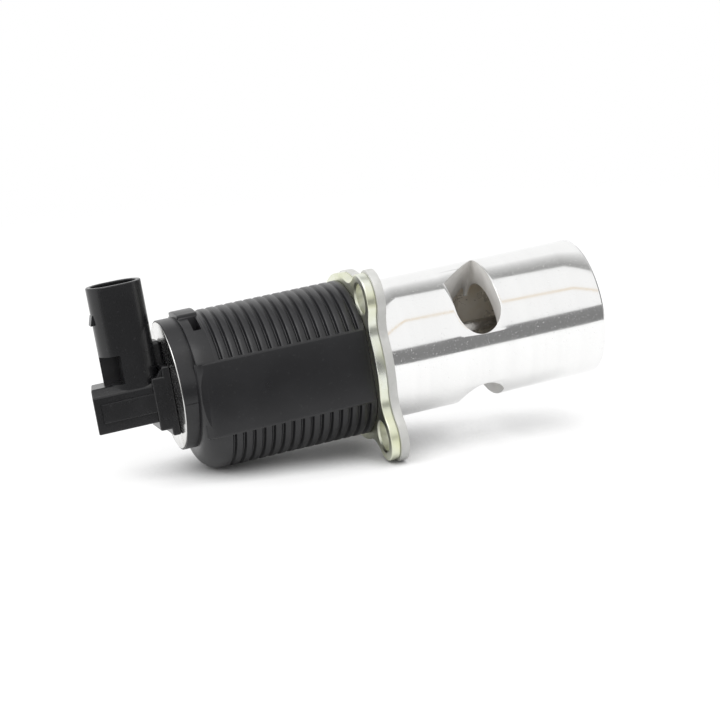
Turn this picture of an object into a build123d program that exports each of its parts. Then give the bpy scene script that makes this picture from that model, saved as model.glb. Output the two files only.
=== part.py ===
"""Exhaust-gas recirculation valve: windowed cartridge, flange, solenoid and position sensor.

Millimetres. The origin is the centre of the mounting face, on the valve axis. +X runs along the
cartridge to its gas inlet, -X to the solenoid and the sensor, and +Z up to the plug socket.
"""
from build123d import *
import os
from math import cos, radians, sin

# ---------------------------------------------------------------- fits and clearances
running_clearance = 0.05    # radial gap of a sliding fit
free_clearance = 0.3        # radial gap where two pieces pass without touching
seat_gap = 0.3              # gap at a seat, a stop or a loose end

# ---------------------------------------------------------------- motion
valve_lift = 5.5            # travel of the poppet, towards +X

# ---------------------------------------------------------------- aluminium body
cartridge_r = 22.5
cartridge_length = 74.5
register_length = 23.5      # full-size land next to the flange
nose_relief = 0.05          # how much smaller in radius the rest of the cartridge is
body_flange_thick = 2.8
gas_bore_r = 14.5
nose_bore_r = 16.0
nose_bore_depth = 18.5
chamber_start = 20.0        # x of the chamber's closed end
rim_chamfer = 0.6

window_width = 15.0         # also the diameter of the window's round end
window_left = 25.4          # x of the windows' near side
window_span = 31.2          # across the window, square to its cutting direction
window_slant_drop = 12.4    # how much shorter the window is on its near side
upper_window_angle = 45.0   # cutting direction above -Y
lower_window_angle = -87.0

# ---------------------------------------------------------------- flange outline
plate_thick = 3.0
plate_disc_r = 27.4
plate_ear_r = 7.8
body_disc_r = 27.8
body_ear_r = 8.6
neck_fillet = 10.0          # between an ear and the disc
ear_y = -21.4               # the pair of ears on the -Y side
upper_ear_z = 20.9
lower_ear_z = -23.5
far_ear_y = 23.6            # the single ear on the +Y side
far_ear_z = -20.1
bolt_hole_r = 4.75
bolt_hole_chamfer = 0.6

# ---------------------------------------------------------------- solenoid housing
housing_left = -62.0
housing_wall = 5.2          # from the magnet's bore to the rib crests
rib_groove_depth = 0.9
rib_groove_width = 1.3
rib_groove_flank = 0.5       # axial length of each sloping flank
rib_pitch = 3.15
rib_end_land = 2.4          # from the last groove's middle to the flange plate, at least
first_groove_inset = 9.4    # from the housing's left end
housing_end_fillet = 7.0
panel_wall = 2.6            # from the magnet's bore to the flat side panels
panel_half_height = 12.0
panel_end_fillet = 5.0
panel_core_margin = 0.6      # panel slabs stay clear of the magnet's bore
hood_inset = 1.4            # crisp shoulder on the upper half, from the housing's left end
hood_length = 6.4
hood_rise = 0.1             # above the rib crests
hood_wall = 4.4
hood_base_z = 11.5
hood_pocket_inset = 2.9     # from the hood's left end
hood_pad_rise = 1.0         # raised pad on the hood
hood_pad_half_width = 6.5
hood_pocket_length = 2.5
hood_pocket_near_y = -14.0
hood_pocket_far_y = -7.2
hood_pocket_depth = 1.2
collar_length = 3.0
collar_rise = 0.8           # collar beyond the magnet's bore
collar_centre_z = 3.8
tail_bore_r = 5.0           # way for the sensor plunger through the collar

# ---------------------------------------------------------------- steel end plate
end_plate_thick = 1.2
end_plate_inset = 0.5       # from the collar's rim
end_plate_hole_r = 4.0

# ---------------------------------------------------------------- magnet
yoke_r = 20.0
yoke_wall = 1.6
yoke_cap_thick = 2.5
yoke_to_housing_wall = 2.0  # plastic between the yoke cap and the collar
pole_flange_gap = 1.4       # inside the yoke
pole_flange_thick = 3.0
pole_r = 9.1
pole_gap = 0.5              # between the lifted armature and the pole piece
pole_dish_depth = 1.6
pole_dish_r = 6.5
bobbin_bore_r = 9.3
bobbin_wall = 1.2
bobbin_gap = 0.6            # inside the yoke
bobbin_flange_thick = 1.6
winding_inset = 0.9         # below the bobbin's flanges
armature_r = 8.4
armature_inset = 10.0       # from the housing's left end
armature_length = 20.0
armature_vent_r = 1.1
armature_vent_ring_r = 5.6
armature_vent_count = 4
armature_chamfer = 0.5
stem_inset = 2.0            # solid end of the armature beyond the stem
sleeve_wall = 0.6
sleeve_end_gap = 1.0        # sleeve beyond the armature's rest position

# ---------------------------------------------------------------- stem, poppet and seat
stem_r = 3.0
stem_spigot_r = 2.2
stem_spigot_length = 3.0
seat_thick = 5.0
seat_hole_r = 10.0
seat_cone = 2.0             # axial and radial size of the 45 degree seat cone
poppet_rim_thick = 1.4
poppet_hub_r = 4.6
poppet_hub_length = 5.6      # from the seat face to the end of the hub
poppet_back_r = 9.0          # hollow curve from the rim to the hub
guide_r = 5.2
guide_left = 5.0
seal_length = 3.0
seal_groove_depth = 0.5
seal_lip_length = 1.0

# ---------------------------------------------------------------- return spring
spring_pocket_r = 7.6
spring_pocket_floor = 9.0
spring_coil_r = 6.3
spring_wire_r = 0.6
spring_turns = 5.0
wire_sides = 8
retainer_r = 7.0
retainer_thick = 1.4
retainer_inset = 5.6        # from the flange plate's left face
retainer_lip_r = 5.3
retainer_lip_length = 1.2
pole_recess_depth = 9.5     # room for the retainer inside the pole piece

# ---------------------------------------------------------------- body joint
body_seal_r = 10.6
body_seal_width = 1.2
body_seal_depth = 0.9
body_screw_count = 3
body_screw_ring_r = 15.2
body_screw_r = 2.0
body_screw_length = 9.0
body_screw_head_r = 3.8
body_screw_head_depth = 1.8
body_screw_socket_r = 1.5
body_screw_first_angle = 90.0

# ---------------------------------------------------------------- sensor cover
cover_foot_thick = 2.6      # rectangular foot on the end plate
cover_foot_half_width = 8.0
cover_foot_bottom = -10.9
cover_foot_top = 11.2
cover_step_inset = 2.0
cover_step_thick = 3.6
cover_step_bottom = -8.6
block_length = 22.6         # from the foot to the end of the sensor block
block_near_y = -7.0
block_depth = 12.5
block_end_sweep = 2.2       # how far the end face runs back on the far side
block_bottom = -5.8
block_top = 8.3
block_shoulder = 2.4        # bevel along the near top edge
block_wall = 1.8
cavity_bottom_wall = 2.0
side_rib_height = 0.7       # raised band on the block's near face
side_rib_bottom = -2.5
side_rib_top = 3.6
side_rib_inset = 2.2
bridge_bottom = 10.0        # lead duct between the socket tower and the end plate
bridge_top = 18.6
bridge_near_y = -1.0
bridge_far_y = 6.0
gusset_length = 3.6
gusset_height = 4.6
gusset_thick = 1.6

# ---------------------------------------------------------------- plug socket
tower_reach = 8.4           # from the foot to the middle of the tower
tower_width = 17.4
tower_depth = 13.6
tower_foot = 5.6
tower_top = 39.0
tower_wall = 1.5
socket_floor = 19.0
foot_notch_top = 17.2
foot_notch_width = 5.6
foot_notch_far_y = 1.5
latch_width = 4.0
latch_height = 3.2
latch_depth = 0.9
latch_top = 30.5
terminal_count = 5
terminal_pitch = 2.54
terminal_width = 1.5
terminal_thick = 0.64
terminal_top = 31.0
terminal_root = 15.0

# ---------------------------------------------------------------- position sensor
plunger_r = 2.2
plunger_tip_length = 2.0
plunger_tip_r = 1.5
carriage_length = 3.9
carriage_low_z = -3.0
carriage_high_z = 4.6
carriage_near_y = -4.6
carriage_far_y = 2.6
brush_thick = 0.4
brush_count = 2
brush_pitch = 3.6
brush_width = 1.6
brush_gap = 0.1
board_thick = 0.8
sensor_coil_r = 1.9
sensor_wire_r = 0.25
sensor_turns = 6.0
cover_seal_r = 6.4
cover_seal_width = 1.2
cover_seal_depth = 0.8
lead_r = 0.5
lead_z = 13.2
lead_spacing = 3.0
lead_clearance = 0.4

# ---------------------------------------------------------------- derived places
plate_left = -body_flange_thick - plate_thick
window_centre_x = window_left + window_width / 2
window_right = window_left + window_width
seat_left = cartridge_length - nose_bore_depth
seat_right = seat_left + seat_thick
poppet_left = seat_right - seat_cone + seat_gap
rib_crest_r = yoke_r + housing_wall
panel_half_width = yoke_r + panel_wall
collar_r = yoke_r + collar_rise
end_plate_r = collar_r - end_plate_inset
yoke_bore_r = yoke_r - yoke_wall
pole_flange_r = yoke_bore_r - pole_flange_gap
bobbin_flange_r = yoke_bore_r - bobbin_gap
winding_r = bobbin_flange_r - winding_inset
first_groove_x = housing_left + first_groove_inset
rib_count = int((plate_left - rib_end_land - first_groove_x) / rib_pitch) + 1
sleeve_inner_r = armature_r + running_clearance
sleeve_r = sleeve_inner_r + sleeve_wall
hood_left = housing_left + hood_inset
hood_right = hood_left + hood_length
hood_r = rib_crest_r + hood_rise
hood_pad_r = hood_r + hood_pad_rise
hood_pocket_x = hood_left + hood_pocket_inset
collar_left = housing_left - collar_length
armature_left = housing_left + armature_inset
armature_right = armature_left + armature_length
pole_left = armature_right + valve_lift + pole_gap
retainer_left = plate_left - retainer_inset
sleeve_left = armature_left - sleeve_end_gap
yoke_left = housing_left + yoke_to_housing_wall
yoke_cap_right = yoke_left + yoke_cap_thick
pole_flange_left = plate_left - pole_flange_thick
groove_mouth_half = rib_groove_width / 2
groove_floor_half = groove_mouth_half - rib_groove_flank
guide_right = chamber_start - seal_length
end_plate_left = collar_left - end_plate_thick
foot_left = end_plate_left - cover_foot_thick
step_left = foot_left - cover_step_thick
block_left = foot_left - block_length
tower_x = foot_left - tower_reach
block_far_y = block_near_y + block_depth
cavity_left = block_left + block_end_sweep + block_wall
cavity_far_y = block_far_y - block_wall
cavity_near_y = block_near_y + block_wall
cavity_bottom = block_bottom + cavity_bottom_wall
cavity_top = block_top - block_shoulder - block_wall / 2
cavity_right = step_left
carriage_right = cavity_right - valve_lift - seat_gap
carriage_left = carriage_right - carriage_length
board_near_y = cavity_far_y - board_thick
ears = ((ear_y, upper_ear_z), (ear_y, lower_ear_z), (far_ear_y, far_ear_z))


# ---------------------------------------------------------------- shared forms
def turned(x_start, x_end, outer_r, inner_r=0.0, mode=Mode.ADD, centre_z=0.0):
    """Add or cut a disc or ring on a line along X, from x_start to x_end."""
    with BuildSketch(Plane.YZ.offset(x_start)) as section:
        with Locations((0, centre_z)):
            Circle(outer_r)
            if inner_r:
                Circle(inner_r, mode=Mode.SUBTRACT)
    extrude(section.sketch, amount=x_end - x_start, mode=mode)


def block(x_range, y_range, z_range, mode=Mode.ADD):
    """Add or cut a rectangular block between pairs of limits."""
    with BuildSketch(Plane.YZ.offset(x_range[0])) as section:
        with Locations(((y_range[0] + y_range[1]) / 2, (z_range[0] + z_range[1]) / 2)):
            Rectangle(y_range[1] - y_range[0], z_range[1] - z_range[0])
    extrude(section.sketch, amount=x_range[1] - x_range[0], mode=mode)


def eared_flange(x_start, thick, disc_r, ear_r):
    """Add the three-eared flange: a disc, an ear round each bolt hole and a fillet in each neck."""
    with BuildSketch(Plane.YZ.offset(x_start)) as outline:
        Circle(disc_r)
        with Locations(*ears):
            Circle(ear_r)
        fillet(outline.vertices(), radius=neck_fillet)
    extrude(outline.sketch, amount=thick)


def bolt_holes(x_start, x_end):
    """Cut the three bolt holes through whatever lies between the two stations."""
    with BuildSketch(Plane.YZ.offset(x_start)) as holes:
        with Locations(*ears):
            Circle(bolt_hole_r)
    extrude(holes.sketch, amount=x_end - x_start, mode=Mode.SUBTRACT)


def coil_spring(x_start, x_end, coil_r, wire_r, turns):
    """Sweep an eight-sided wire along a helix about the valve axis."""
    length = x_end - x_start
    with BuildLine() as route:
        Helix(length / turns, length, coil_r, center=(x_start, 0, 0), direction=(1, 0, 0))
    with BuildSketch(Plane(route.line @ 0, z_dir=route.line % 0)) as wire:
        RegularPolygon(wire_r, wire_sides)
    sweep(wire.sketch, path=route.line)


def window_cutter(angle, slant_side):
    """Cut one gas window along a direction in the YZ plane, angle degrees above -Y.

    The window is a milled slot with one round end. The other end is slanted, so that the
    port closes gradually. slant_side is 1 where the slanted end is the higher one.
    """
    outward = Vector(0, -cos(radians(angle)), sin(radians(angle)))
    plane = Plane(origin=(window_centre_x, 0, 0), x_dir=(1, 0, 0), z_dir=outward)
    side = slant_side * (1 if plane.y_dir.Z > 0 or plane.y_dir.Y > 0 else -1)
    half = window_span / 2
    radius = window_width / 2
    with BuildSketch(plane) as slot:
        with BuildLine():
            start = Polyline((radius, side * (radius - half)), (radius, side * half),
                             (-radius, side * (half - window_slant_drop)),
                             (-radius, side * (radius - half)))
            ThreePointArc(start @ 1, (0, -side * half), start @ 0)
        make_face()
    extrude(slot.sketch, amount=cartridge_r + 1, mode=Mode.SUBTRACT)


# ---------------------------------------------------------------- valve body
with BuildPart() as valve_body:
    turned(0, register_length, cartridge_r)
    turned(register_length, cartridge_length, cartridge_r - nose_relief)
    chamfer(valve_body.edges().filter_by(GeomType.CIRCLE).sort_by(Axis.X)[-1], length=rim_chamfer)
    eared_flange(-body_flange_thick, body_flange_thick, body_disc_r, body_ear_r)
    turned(chamber_start, cartridge_length, gas_bore_r, mode=Mode.SUBTRACT)
    turned(seat_left, cartridge_length, nose_bore_r, mode=Mode.SUBTRACT)
    window_cutter(upper_window_angle, 1)
    window_cutter(lower_window_angle, -1)
    turned(-body_flange_thick, spring_pocket_floor, spring_pocket_r, mode=Mode.SUBTRACT)
    turned(spring_pocket_floor, chamber_start, guide_r, mode=Mode.SUBTRACT)
    turned(-body_flange_thick, -body_flange_thick + body_seal_depth, body_seal_r,
           body_seal_r - body_seal_width, mode=Mode.SUBTRACT)
    with BuildSketch(Plane.YZ.offset(-body_flange_thick)) as tapped_holes:
        with PolarLocations(body_screw_ring_r, body_screw_count, body_screw_first_angle):
            Circle(body_screw_r)
    extrude(tapped_holes.sketch, amount=body_screw_length - plate_thick + seat_gap,
            mode=Mode.SUBTRACT)
    bolt_holes(-body_flange_thick, 0)

# ---------------------------------------------------------------- flange plate
with BuildPart() as flange_plate:
    eared_flange(plate_left, plate_thick, plate_disc_r, plate_ear_r)
    turned(plate_left, -body_flange_thick, spring_pocket_r, mode=Mode.SUBTRACT)
    with Locations(Plane(origin=(plate_left, 0, 0), x_dir=(0, 1, 0), z_dir=(-1, 0, 0))):
        with PolarLocations(body_screw_ring_r, body_screw_count, -body_screw_first_angle):
            CounterSinkHole(body_screw_r, body_screw_head_r, plate_thick)
    bolt_holes(plate_left, -body_flange_thick)
    mouths = flange_plate.edges().filter_by(GeomType.CIRCLE).filter_by(
        lambda edge: abs(edge.radius - bolt_hole_r) < 1e-6 and abs(edge.center().X - plate_left) < 1e-6)
    chamfer(mouths, length=bolt_hole_chamfer)

# ---------------------------------------------------------------- body screws and seal
with BuildPart() as body_screws:
    with BuildSketch(Plane.XZ) as screw_profile:
        with BuildLine():
            Polyline((plate_left, body_screw_socket_r), (plate_left, body_screw_head_r),
                     (plate_left + body_screw_head_r - body_screw_r, body_screw_r),
                     (plate_left + body_screw_length, body_screw_r), (plate_left + body_screw_length, 0),
                     (plate_left + body_screw_head_depth, 0),
                     (plate_left + body_screw_head_depth, body_screw_socket_r), close=True)
        make_face()
    screw = revolve(screw_profile.sketch, axis=Axis.X, mode=Mode.PRIVATE)
    for index in range(body_screw_count):
        angle = radians(body_screw_first_angle + 360 / body_screw_count * index)
        add(screw.moved(Location((0, body_screw_ring_r * cos(angle), body_screw_ring_r * sin(angle)))))

with BuildPart() as body_seal:
    turned(-body_flange_thick, -body_flange_thick + body_seal_depth, body_seal_r,
           body_seal_r - body_seal_width)

# ---------------------------------------------------------------- solenoid housing
with BuildPart() as solenoid_housing:
    with BuildSketch(Plane.XZ) as barrel:
        with BuildLine():
            shoulder = (housing_left + housing_end_fillet, rib_crest_r)
            RadiusArc((housing_left, rib_crest_r - housing_end_fillet), shoulder, housing_end_fillet)
            crest_line = [shoulder]
            for index in range(rib_count):
                groove_x = first_groove_x + index * rib_pitch
                for half_width, depth in ((groove_mouth_half, 0), (groove_floor_half, rib_groove_depth)):
                    crest_line.append((groove_x - half_width, rib_crest_r - depth))
                for half_width, depth in ((groove_floor_half, rib_groove_depth), (groove_mouth_half, 0)):
                    crest_line.append((groove_x + half_width, rib_crest_r - depth))
            Polyline(*crest_line, (plate_left, rib_crest_r), (plate_left, yoke_r), (yoke_left, yoke_r),
                     (yoke_left, sleeve_r), (housing_left, sleeve_r),
                     (housing_left, rib_crest_r - housing_end_fillet))
        make_face()
    revolve(barrel.sketch, axis=Axis.X)
    for side in (-1, 1):
        block((housing_left, plate_left), sorted((side * panel_half_width, side * hood_pad_r)),
              (-hood_pad_r, hood_pad_r), mode=Mode.SUBTRACT)
    with BuildSketch(Plane.XY.offset(-panel_half_height)) as panels:
        with Locations(((housing_left + plate_left) / 2, 0)):
            Rectangle(plate_left - housing_left, 2 * panel_half_width)
            fillet(panels.vertices().group_by(Axis.X)[0], radius=panel_end_fillet)
            Rectangle(plate_left - housing_left, 2 * yoke_r + panel_core_margin, mode=Mode.SUBTRACT)
    extrude(panels.sketch, amount=2 * panel_half_height)
    with BuildSketch(Plane.YZ.offset(hood_left)) as hood:
        Circle(hood_r)
        with Locations((0, hood_pad_r / 2)):
            Rectangle(2 * hood_pad_half_width, hood_pad_r)
        Circle(hood_r - hood_wall, mode=Mode.SUBTRACT)
        with Locations((0, hood_base_z - hood_pad_r)):
            Rectangle(3 * hood_pad_r, 2 * hood_pad_r, mode=Mode.SUBTRACT)
    extrude(hood.sketch, amount=hood_right - hood_left)
    with BuildSketch(Plane.YZ.offset(hood_pocket_x)) as hood_pocket:
        Circle(hood_pad_r)
        Circle(hood_r - hood_pocket_depth, mode=Mode.SUBTRACT)
        with Locations(((hood_pocket_near_y + hood_pocket_far_y) / 2, hood_pad_r)):
            Rectangle(hood_pocket_far_y - hood_pocket_near_y, 2 * hood_pad_r, mode=Mode.INTERSECT)
    extrude(hood_pocket.sketch, amount=hood_pocket_length, mode=Mode.SUBTRACT)
    turned(collar_left, hood_left, collar_r, yoke_r - collar_centre_z, centre_z=collar_centre_z)
    turned(collar_left, housing_left, yoke_r - free_clearance, tail_bore_r)
    with BuildSketch(Plane.YZ.offset(collar_left)) as lead_way:
        with Locations(((bridge_near_y + bridge_far_y) / 2, lead_z)):
            SlotCenterToCenter(lead_spacing, 2 * (lead_r + lead_clearance))
    extrude(lead_way.sketch, amount=yoke_left - collar_left, mode=Mode.SUBTRACT)

# ---------------------------------------------------------------- end plate
with BuildPart() as end_plate:
    turned(end_plate_left, collar_left, end_plate_r, centre_z=collar_centre_z)
    turned(end_plate_left, collar_left, end_plate_hole_r, mode=Mode.SUBTRACT)
    with BuildSketch(Plane.YZ.offset(end_plate_left)) as lead_holes:
        with Locations(((bridge_near_y + bridge_far_y) / 2, lead_z)):
            SlotCenterToCenter(lead_spacing, 2 * (lead_r + lead_clearance))
    extrude(lead_holes.sketch, amount=end_plate_thick, mode=Mode.SUBTRACT)

# ---------------------------------------------------------------- magnet
with BuildPart() as yoke_case:
    turned(yoke_left, plate_left, yoke_r, yoke_bore_r)

with BuildPart() as yoke_cap:
    turned(yoke_left, yoke_cap_right, yoke_bore_r, sleeve_r)
    with BuildSketch(Plane.YZ.offset(yoke_left)) as lead_notch:
        with Locations(((bridge_near_y + bridge_far_y) / 2, lead_z)):
            SlotCenterToCenter(lead_spacing, 2 * (lead_r + lead_clearance))
    extrude(lead_notch.sketch, amount=yoke_cap_thick, mode=Mode.SUBTRACT)

with BuildPart() as pole_piece:
    turned(pole_left, plate_left, pole_r)
    turned(pole_flange_left, plate_left, pole_flange_r)
    turned(plate_left - pole_recess_depth, plate_left, spring_pocket_r, mode=Mode.SUBTRACT)
    turned(pole_left, pole_left + pole_dish_depth, pole_dish_r, mode=Mode.SUBTRACT)
    turned(pole_left, plate_left, stem_r + free_clearance, mode=Mode.SUBTRACT)

with BuildPart() as coil_bobbin:
    turned(yoke_cap_right, pole_flange_left, bobbin_bore_r + bobbin_wall, bobbin_bore_r)
    turned(yoke_cap_right, yoke_cap_right + bobbin_flange_thick, bobbin_flange_r, bobbin_bore_r)
    turned(pole_flange_left - bobbin_flange_thick, pole_flange_left, bobbin_flange_r, bobbin_bore_r)

with BuildPart() as coil_winding:
    turned(yoke_cap_right + bobbin_flange_thick, pole_flange_left - bobbin_flange_thick, winding_r,
           bobbin_bore_r + bobbin_wall)

with BuildPart() as guide_sleeve:
    turned(sleeve_left, pole_left, sleeve_r, sleeve_inner_r)

with BuildPart() as armature:
    turned(armature_left, armature_right, armature_r)
    chamfer(armature.edges().filter_by(GeomType.CIRCLE), length=armature_chamfer)
    turned(armature_left + stem_inset, armature_right, stem_r, mode=Mode.SUBTRACT)
    with BuildSketch(Plane.YZ.offset(armature_left)) as vents:
        with PolarLocations(armature_vent_ring_r, armature_vent_count):
            Circle(armature_vent_r)
    extrude(vents.sketch, amount=armature_length, mode=Mode.SUBTRACT)

with BuildPart() as coil_leads:
    with BuildSketch(Plane.YZ.offset(foot_left)) as leads:
        with Locations(((bridge_near_y + bridge_far_y) / 2, lead_z)):
            with GridLocations(lead_spacing, 0, 2, 1):
                Circle(lead_r)
    extrude(leads.sketch, amount=yoke_cap_right - foot_left)

# ---------------------------------------------------------------- stem, poppet and seat
with BuildPart() as valve_stem:
    turned(armature_left + stem_inset, poppet_left, stem_r)
    turned(poppet_left, poppet_left + stem_spigot_length, stem_spigot_r)

with BuildPart() as valve_disc:
    with BuildSketch(Plane.XZ) as poppet_profile:
        with BuildLine():
            cone_end = (poppet_left + seat_cone, seat_hole_r + seat_cone)
            rim_end = (cone_end[0] + poppet_rim_thick, cone_end[1])
            hub_end = (poppet_left + poppet_hub_length, poppet_hub_r)
            Polyline((poppet_left, 0), (poppet_left, seat_hole_r), cone_end, rim_end)
            RadiusArc(rim_end, hub_end, -poppet_back_r)
            Polyline(hub_end, (hub_end[0], 0), (poppet_left, 0))
        make_face()
    revolve(axis=Axis.X)
    turned(poppet_left, poppet_left + stem_spigot_length, stem_spigot_r, mode=Mode.SUBTRACT)

with BuildPart() as seat_ring:
    turned(seat_left, seat_right, nose_bore_r, seat_hole_r)
    chamfer(seat_ring.edges().filter_by(GeomType.CIRCLE).group_by(Axis.X)[-1].sort_by(SortBy.RADIUS)[0],
            length=seat_cone)

with BuildPart() as stem_guide:
    turned(guide_left, guide_right, guide_r, stem_r + running_clearance)

with BuildPart() as stem_seal:
    turned(guide_right, chamber_start, guide_r, stem_r + running_clearance)
    turned(guide_right + seal_lip_length, chamber_start - seal_lip_length,
           stem_r + running_clearance + seal_groove_depth, mode=Mode.SUBTRACT)

# ---------------------------------------------------------------- return spring
with BuildPart() as spring_retainer:
    turned(retainer_left, retainer_left + retainer_thick, retainer_r, stem_r)
    turned(retainer_left, retainer_left + retainer_thick + retainer_lip_length, retainer_lip_r, stem_r)

with BuildPart() as return_spring:
    coil_spring(retainer_left + retainer_thick + spring_wire_r + seat_gap / 2,
                spring_pocket_floor - spring_wire_r - seat_gap / 2,
                spring_coil_r, spring_wire_r, spring_turns)

# ---------------------------------------------------------------- sensor cover
with BuildPart() as sensor_cover:
    block((foot_left, end_plate_left), (-cover_foot_half_width, cover_foot_half_width),
          (cover_foot_bottom, cover_foot_top))
    block((step_left, foot_left), (-cover_foot_half_width, cover_foot_half_width - cover_step_inset),
          (cover_step_bottom, block_top))
    with BuildSketch(Plane.XY.offset(block_bottom)) as block_plan:
        with BuildLine():
            Polyline((block_left, block_near_y), (foot_left, block_near_y), (foot_left, block_far_y),
                     (block_left + block_end_sweep, block_far_y), close=True)
        make_face()
    extrude(block_plan.sketch, amount=block_top - block_bottom)
    near_top_edge = sensor_cover.edges().filter_by(Axis.X).filter_by(
        lambda edge: abs(edge.center().Y - block_near_y) < 1e-6 and abs(edge.center().Z - block_top) < 1e-6)
    chamfer(near_top_edge, length=block_shoulder)
    block((block_left + side_rib_inset, foot_left), (block_near_y - side_rib_height, block_near_y),
          (side_rib_bottom, side_rib_top))
    block((foot_left, end_plate_left), (bridge_near_y, bridge_far_y), (cover_foot_top, bridge_top))
    block((tower_x + tower_width / 4, foot_left), (bridge_near_y, bridge_far_y), (bridge_bottom, bridge_top))
    with BuildSketch(Plane.XZ.offset(-block_near_y - gusset_thick)) as gusset:
        with BuildLine():
            Polyline((foot_left - gusset_length, block_top - block_shoulder),
                     (foot_left, block_top - block_shoulder),
                     (foot_left, block_top - block_shoulder + gusset_height), close=True)
        make_face()
    extrude(gusset.sketch, amount=gusset_thick)
    with BuildSketch(Plane.XY.offset(tower_foot)) as tower:
        with Locations((tower_x, 0)):
            SlotOverall(tower_width, tower_depth)
    extrude(tower.sketch, amount=tower_top - tower_foot)
    block((tower_x - tower_width, tower_x - tower_width / 2 + foot_notch_width),
          (-tower_depth, foot_notch_far_y), (block_top, foot_notch_top), mode=Mode.SUBTRACT)
    with BuildSketch(Plane.XY.offset(socket_floor)) as socket:
        with Locations((tower_x, 0)):
            SlotOverall(tower_width - 2 * tower_wall, tower_depth - 2 * tower_wall)
    extrude(socket.sketch, amount=tower_top - socket_floor, mode=Mode.SUBTRACT)
    with BuildSketch(Plane.XZ.offset(-latch_width / 2)) as latch:
        with BuildLine():
            latch_x = tower_x - tower_width / 2
            Polyline((latch_x + latch_depth, latch_top), (latch_x, latch_top),
                     (latch_x - latch_depth, latch_top - latch_height),
                     (latch_x + latch_depth, latch_top - latch_height), close=True)
        make_face()
    extrude(latch.sketch, amount=latch_width)
    with BuildSketch(Plane.XY.offset(terminal_root)) as terminal_slots:
        with Locations((tower_x, 0)):
            with GridLocations(terminal_pitch, 0, terminal_count, 1):
                Rectangle(terminal_width, terminal_thick)
    extrude(terminal_slots.sketch, amount=socket_floor - terminal_root, mode=Mode.SUBTRACT)
    with BuildSketch(Plane.XZ.offset(-cavity_far_y)) as cavity:
        with Locations(((cavity_left + cavity_right) / 2, (cavity_bottom + cavity_top) / 2)):
            Rectangle(cavity_right - cavity_left, cavity_top - cavity_bottom)
    extrude(cavity.sketch, amount=cavity_far_y - cavity_near_y, mode=Mode.SUBTRACT)
    turned(cavity_right, end_plate_left, plunger_r + running_clearance, mode=Mode.SUBTRACT)
    turned(end_plate_left - cover_seal_depth, end_plate_left, cover_seal_r,
           cover_seal_r - cover_seal_width, mode=Mode.SUBTRACT)
    with BuildSketch(Plane.YZ.offset(foot_left)) as lead_bores:
        with Locations(((bridge_near_y + bridge_far_y) / 2, lead_z)):
            with GridLocations(lead_spacing, 0, 2, 1):
                Circle(lead_r)
    extrude(lead_bores.sketch, amount=cover_foot_thick, mode=Mode.SUBTRACT)

with BuildPart() as cover_seal:
    turned(end_plate_left - cover_seal_depth, end_plate_left, cover_seal_r, cover_seal_r - cover_seal_width)

with BuildPart() as connector_terminals:
    with BuildSketch(Plane.XY.offset(terminal_root)) as terminals:
        with Locations((tower_x, 0)):
            with GridLocations(terminal_pitch, 0, terminal_count, 1):
                Rectangle(terminal_width, terminal_thick)
    extrude(terminals.sketch, amount=terminal_top - terminal_root)

# ---------------------------------------------------------------- position sensor
with BuildPart() as sensor_board:
    block((cavity_left + seat_gap, cavity_right - seat_gap), (board_near_y, cavity_far_y),
          (cavity_bottom + seat_gap, cavity_top - seat_gap))

with BuildPart() as wiper_carriage:
    block((carriage_left, carriage_right), (carriage_near_y, carriage_far_y),
          (carriage_low_z, carriage_high_z))
    for index in range(brush_count):
        brush_x = (carriage_left + carriage_right) / 2
        brush_z = (carriage_low_z + carriage_high_z) / 2 + (index - (brush_count - 1) / 2) * brush_pitch
        block((brush_x - brush_width / 2, brush_x + brush_width / 2),
              (carriage_far_y, board_near_y - brush_gap),
              (brush_z - brush_thick / 2, brush_z + brush_thick / 2))
    turned(carriage_left, carriage_right, plunger_r, mode=Mode.SUBTRACT)

with BuildPart() as sensor_plunger:
    turned(carriage_left, armature_left - seat_gap - plunger_tip_length, plunger_r)
    turned(armature_left - seat_gap - plunger_tip_length, armature_left - seat_gap, plunger_tip_r)

with BuildPart() as sensor_spring:
    coil_spring(cavity_left + sensor_wire_r + seat_gap / 2, carriage_left - sensor_wire_r - seat_gap / 2,
                sensor_coil_r, sensor_wire_r, sensor_turns)

# ---------------------------------------------------------------- files
pieces = {
    "valve_body": valve_body, "flange_plate": flange_plate, "body_screws": body_screws,
    "body_seal": body_seal, "solenoid_housing": solenoid_housing, "end_plate": end_plate,
    "yoke_case": yoke_case, "yoke_cap": yoke_cap, "pole_piece": pole_piece,
    "coil_bobbin": coil_bobbin, "coil_winding": coil_winding, "coil_leads": coil_leads,
    "guide_sleeve": guide_sleeve, "armature": armature, "valve_stem": valve_stem,
    "valve_disc": valve_disc, "seat_ring": seat_ring, "stem_guide": stem_guide,
    "stem_seal": stem_seal, "spring_retainer": spring_retainer, "return_spring": return_spring,
    "sensor_cover": sensor_cover, "cover_seal": cover_seal,
    "connector_terminals": connector_terminals, "sensor_board": sensor_board,
    "wiper_carriage": wiper_carriage, "sensor_plunger": sensor_plunger,
    "sensor_spring": sensor_spring,
}
os.makedirs("parts", exist_ok=True)
for name, piece in pieces.items():
    piece.part.label = name
    export_step(piece.part, f"parts/{name}.step")
    print(name, round(piece.part.volume, 1), "mm3")
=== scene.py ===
"""Looks of the exhaust-gas recirculation valve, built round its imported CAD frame.

Sizes in the classes are millimetres, as in the part's own source. Blender's pieces are in metres, in
the part's own frame: the origin is the centre of the mounting face, +X runs along the cartridge to its
open end and +Z up to the plug socket.
"""

import logging
from dataclasses import dataclass
from enum import Enum
from math import acos, asin, atan2, cos, degrees, hypot, pi, radians, sin, sqrt, tan
from typing import Callable, Iterable, Sequence

import bpy
from mathutils import Matrix, Vector


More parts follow.
